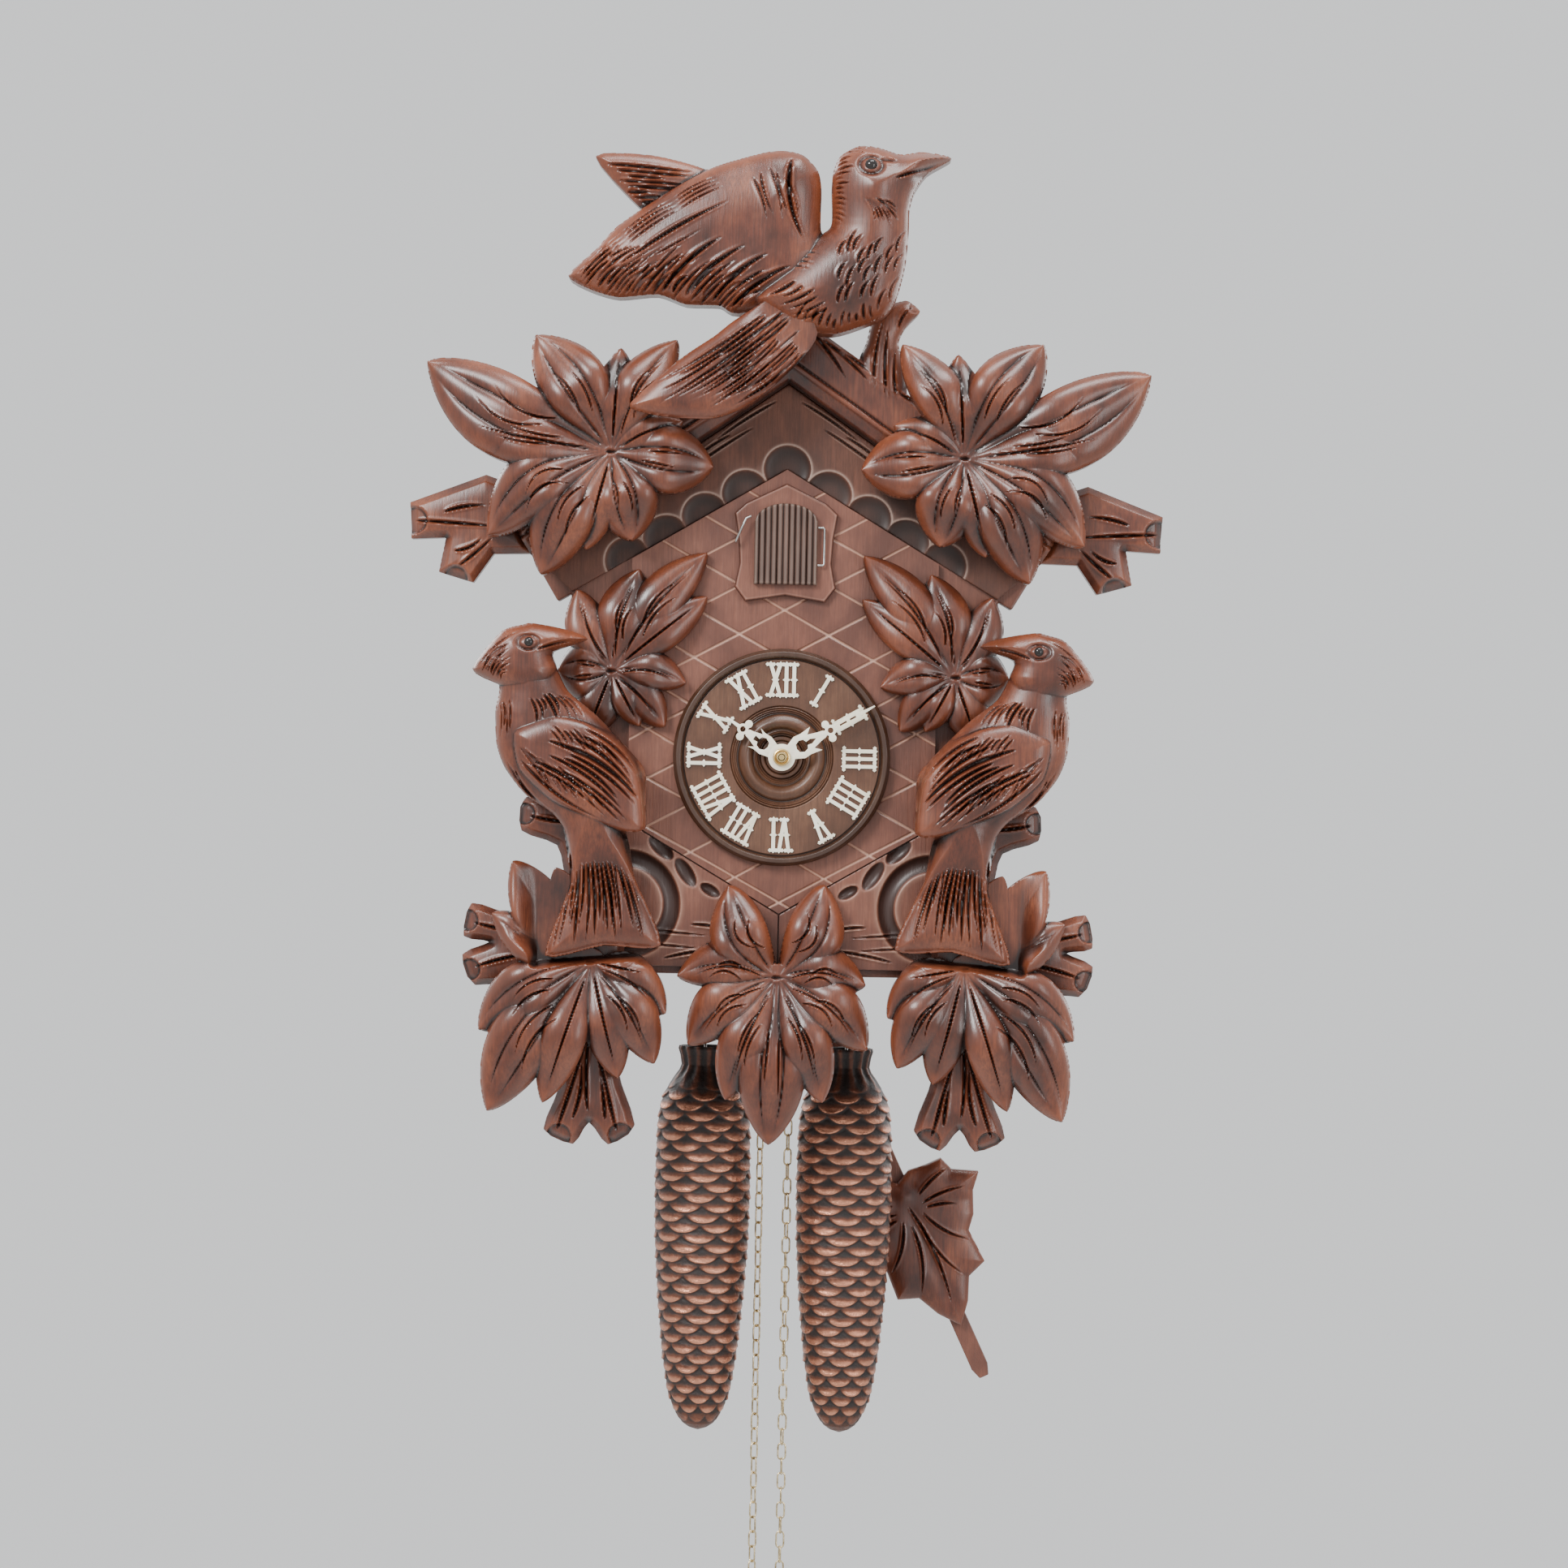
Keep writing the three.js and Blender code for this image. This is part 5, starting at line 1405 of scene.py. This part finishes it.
# ---------- pendulum ----------
def add_bob():
    """A maple leaf in the pendulum's own frame, then leaned over with it."""
    half = [(0, 6), (8, 10), (18, 9), (27, 9), (30, 1), (43, -6), (36, -14), (31, -26),
            (25, -33), (26, -52), (15, -56), (9, -68), (0, -79)]
    outline = np.array([(x, z - BOB_DOWN) for x, z in half]
                       + [(-x, z - BOB_DOWN) for x, z in half[::-1] if x > 0], float)
    xs, zs, X, Z = field(-45, 45, -BOB_DOWN - 81, -BOB_DOWN + 12, 0.45)
    d = depth_in(X, Z, outline)
    hub = (0, -BOB_DOWN - 2)
    H = dome(d, 16, 9.4, 5.0)
    for angle in (-90, -28, -152, 35, 145):
        t = math.radians(angle)
        off = np.abs(-(X - hub[0]) * math.sin(t) + (Z - hub[1]) * math.cos(t))
        ahead = (X - hub[0]) * math.cos(t) + (Z - hub[1]) * math.sin(t)
        H -= np.where(ahead > 0, 1.1 * np.exp(-(off / 4.5) ** 2) * smoothstep(0, 8, ahead), 0)
    veins = [((0, -8), (0, -66), 3.0)]
    for side in (-1, 1):
        veins += [((side * x0, z0), (side * x1, z1), side * bend) for x0, z0, x1, z1, bend in (
            (2.5, -18, 13, -54, -3.0), (6, -14, 24, -38, -2.5), (8, -9, 33, -10, 1.5),
            (8, -4, 27, 3, 1.0), (9, -12, 25, -17, 1.0))]
    for (x0, z0), (x1, z1), bend in veins:
        gouge(H, X, Z, (x0, z0 - BOB_DOWN), (x1, z1 - BOB_DOWN), 1.9, 1.8, bend)
    carve("pendulum_leaf_carved", "bob", ["pendulum_bob"], xs, zs, d, H, PENDULUM_Y - 2.3,
          CARVED, spin=math.radians(-PENDULUM_ANGLE), thin=2.0)


add_bob()


# ---------- case pieces with eased edges ----------
def eased(node, body, material, slot, width=0.0008, segments=2):
    """The CAD board again with its sharp edges rounded."""
    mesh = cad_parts[node].data.copy()
    bm = bmesh.new()
    bm.from_mesh(mesh)
    bmesh.ops.remove_doubles(bm, verts=bm.verts[:], dist=1e-6)
    bmesh.ops.dissolve_limit(bm, angle_limit=0.01, verts=bm.verts[:], edges=bm.edges[:])
    edges = [e for e in bm.edges if len(e.link_faces) == 2 and e.calc_face_angle(0) > 0.5]
    bmesh.ops.bevel(bm, geom=edges, offset=width, segments=segments, profile=0.5,
                    affect="EDGES", clamp_overlap=True)
    bm.to_mesh(mesh)
    bm.free()
    dress(mesh, material)
    shade_smooth(mesh, 20)
    place(bpy.data.objects.new(f"{node}_eased", mesh), body, slot, [node])


for board in ("back_board", "side_panel_left", "side_panel_right", "bottom_board", "roof_left",
              "roof_right", "cuckoo_rail", "whistle_left", "whistle_right"):
    eased(board, "case", CASE, "case_wood")
eased("rear_cover", "rear_cover", CASE, "case_wood")
eased("front_board", "case", PANEL, "panel_wood", 0.0012)
eased("pendulum_rod", "pendulum", PANEL, "panel_wood", 0.0005)
for bellows in ("bellows_left", "bellows_right"):
    eased(bellows, bellows, LEATHER, "bellows_leather", 0.0012, 3)


# ---------- cuckoo ----------
def ellipsoid(radii, centre, tilt=0.0):
    bm = bmesh.new()
    bmesh.ops.create_uvsphere(bm, u_segments=28, v_segments=18, radius=1)
    bmesh.ops.transform(bm, verts=bm.verts[:], matrix=Matrix.Translation(centre)
                        @ Matrix.Rotation(tilt, 4, "X") @ Matrix.Diagonal((*radii, 1)))
    return drain(bm)


def add_cuckoo():
    parts = [ellipsoid((5.4, 12.6, 5.8), (0, -102, 106), 0.12),
             ellipsoid((4.3, 4.9, 4.5), (0, -113.5, 111)),
             ellipsoid((1.0, 9.5, 3.6), (4.7, -100, 106.6), 0.1),
             ellipsoid((1.0, 9.5, 3.6), (-4.7, -100, 106.6), 0.1),
             ellipsoid((2.6, 8.5, 1.3), (0, -88.5, 104.3), 0.1)]
    beak = np.array([(0, -117.0, 111.4), (0, -119.4, 111.4), (0, -121.4, 111.8),
                     (0, -122.4, 112.0)])
    sides = 10
    points, faces = tube_points(beak, 1.0, sides)
    middle = np.repeat(beak, sides, 0)
    taper = np.repeat((1.6, 1.25, 0.7, 0.15), sides)[:, None]
    parts.append((middle + (np.array(points) - middle) * taper, faces))
    parts.append(tube_points([(0, -103, 95), (0, -103, 102)], 1.2, 12))    # the post
    slide = [(-5, -60), (5, -60), (5, -113), (-5, -113)]
    parts.append(([(x, y, 93.4) for x, y in slide] + [(x, y, 95.4) for x, y in slide],
                  [[0, 1, 2, 3], [7, 6, 5, 4], [0, 4, 5, 1], [1, 5, 6, 2], [2, 6, 7, 3],
                   [3, 7, 4, 0]]))
    face_outwards(add_mesh("cuckoo_bird_carved", *merge(parts), CARVED, "cuckoo",
                           "carved_wood", ["cuckoo_bird"], sharp=50))


add_cuckoo()


# ---------- pieces whose CAD shape stays ----------
for metal_nodes, finish in (
        (("movement_front_plate", "movement_back_plate", "going_chain_wheel",
          "strike_chain_wheel", "centre_wheel", "strike_pin_wheel", "escape_wheel",
          "hour_wheel"), BRASS),
        (("verge", "pendulum_leader", "gong_coil", "gong_hammer"), STEEL)):
    for metal_node in metal_nodes:
        dress(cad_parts[metal_node].data, finish)


# ---------- studio ----------
def add_light(name, where, aim, size, power):
    data = bpy.data.lights.new(name, "AREA")
    data.shape = "RECTANGLE"
    data.size, data.size_y = size
    data.energy = power
    light = bpy.data.objects.new(name, data)
    light.location = where
    light.rotation_euler = (Vector(aim) - Vector(where)).to_track_quat("-Z", "Y").to_euler()
    bpy.context.collection.objects.link(light)


def add_stage():
    material, tree, shader = new_material("pale_floor")
    cloud = noise(tree, 1.5, (1, 1, 1), 2)
    feed(tree, shader, {
        "Base Color": ramp(tree, cloud, [(0.3, (0.74, 0.74, 0.73)),
                                         (0.7, (0.80, 0.80, 0.79))]),
        "Roughness": 0.9})
    mesh = bpy.data.meshes.new("floor")
    half, level = 8, -2.3
    mesh.from_pydata([(-half, -half, level), (half, -half, level), (half, half, level),
                      (-half, half, level)], [], [[0, 1, 2, 3]])
    mesh.materials.append(material)
    floor = bpy.data.objects.new("floor", mesh)
    bpy.context.collection.objects.link(floor)
    world = bpy.data.worlds.new("studio")
    world.use_nodes = True
    feed(world.node_tree, world.node_tree.nodes["Background"],
         {"Color": (0.86, 0.87, 0.88, 1), "Strength": 1.12})
    bpy.context.scene.world = world
    for light in (("key", (-1.1, -1.7, 1.0), (0, -0.1, -0.1), (0.7, 0.7), 46),
                  ("fill", (1.4, -1.6, -0.1), (0, -0.1, -0.15), (0.5, 1.4), 12),
                  ("top", (0.3, -0.7, 1.5), (0, -0.1, -0.1), (1.2, 0.5), 26),
                  ("rear_left", (-1.4, 1.5, 0.7), (0, 0, -0.15), (1.0, 1.0), 16),
                  ("rear_right", (1.4, 1.3, 0.2), (0, 0, -0.15), (1.0, 1.0), 10)):
        add_light(*light)


add_stage()
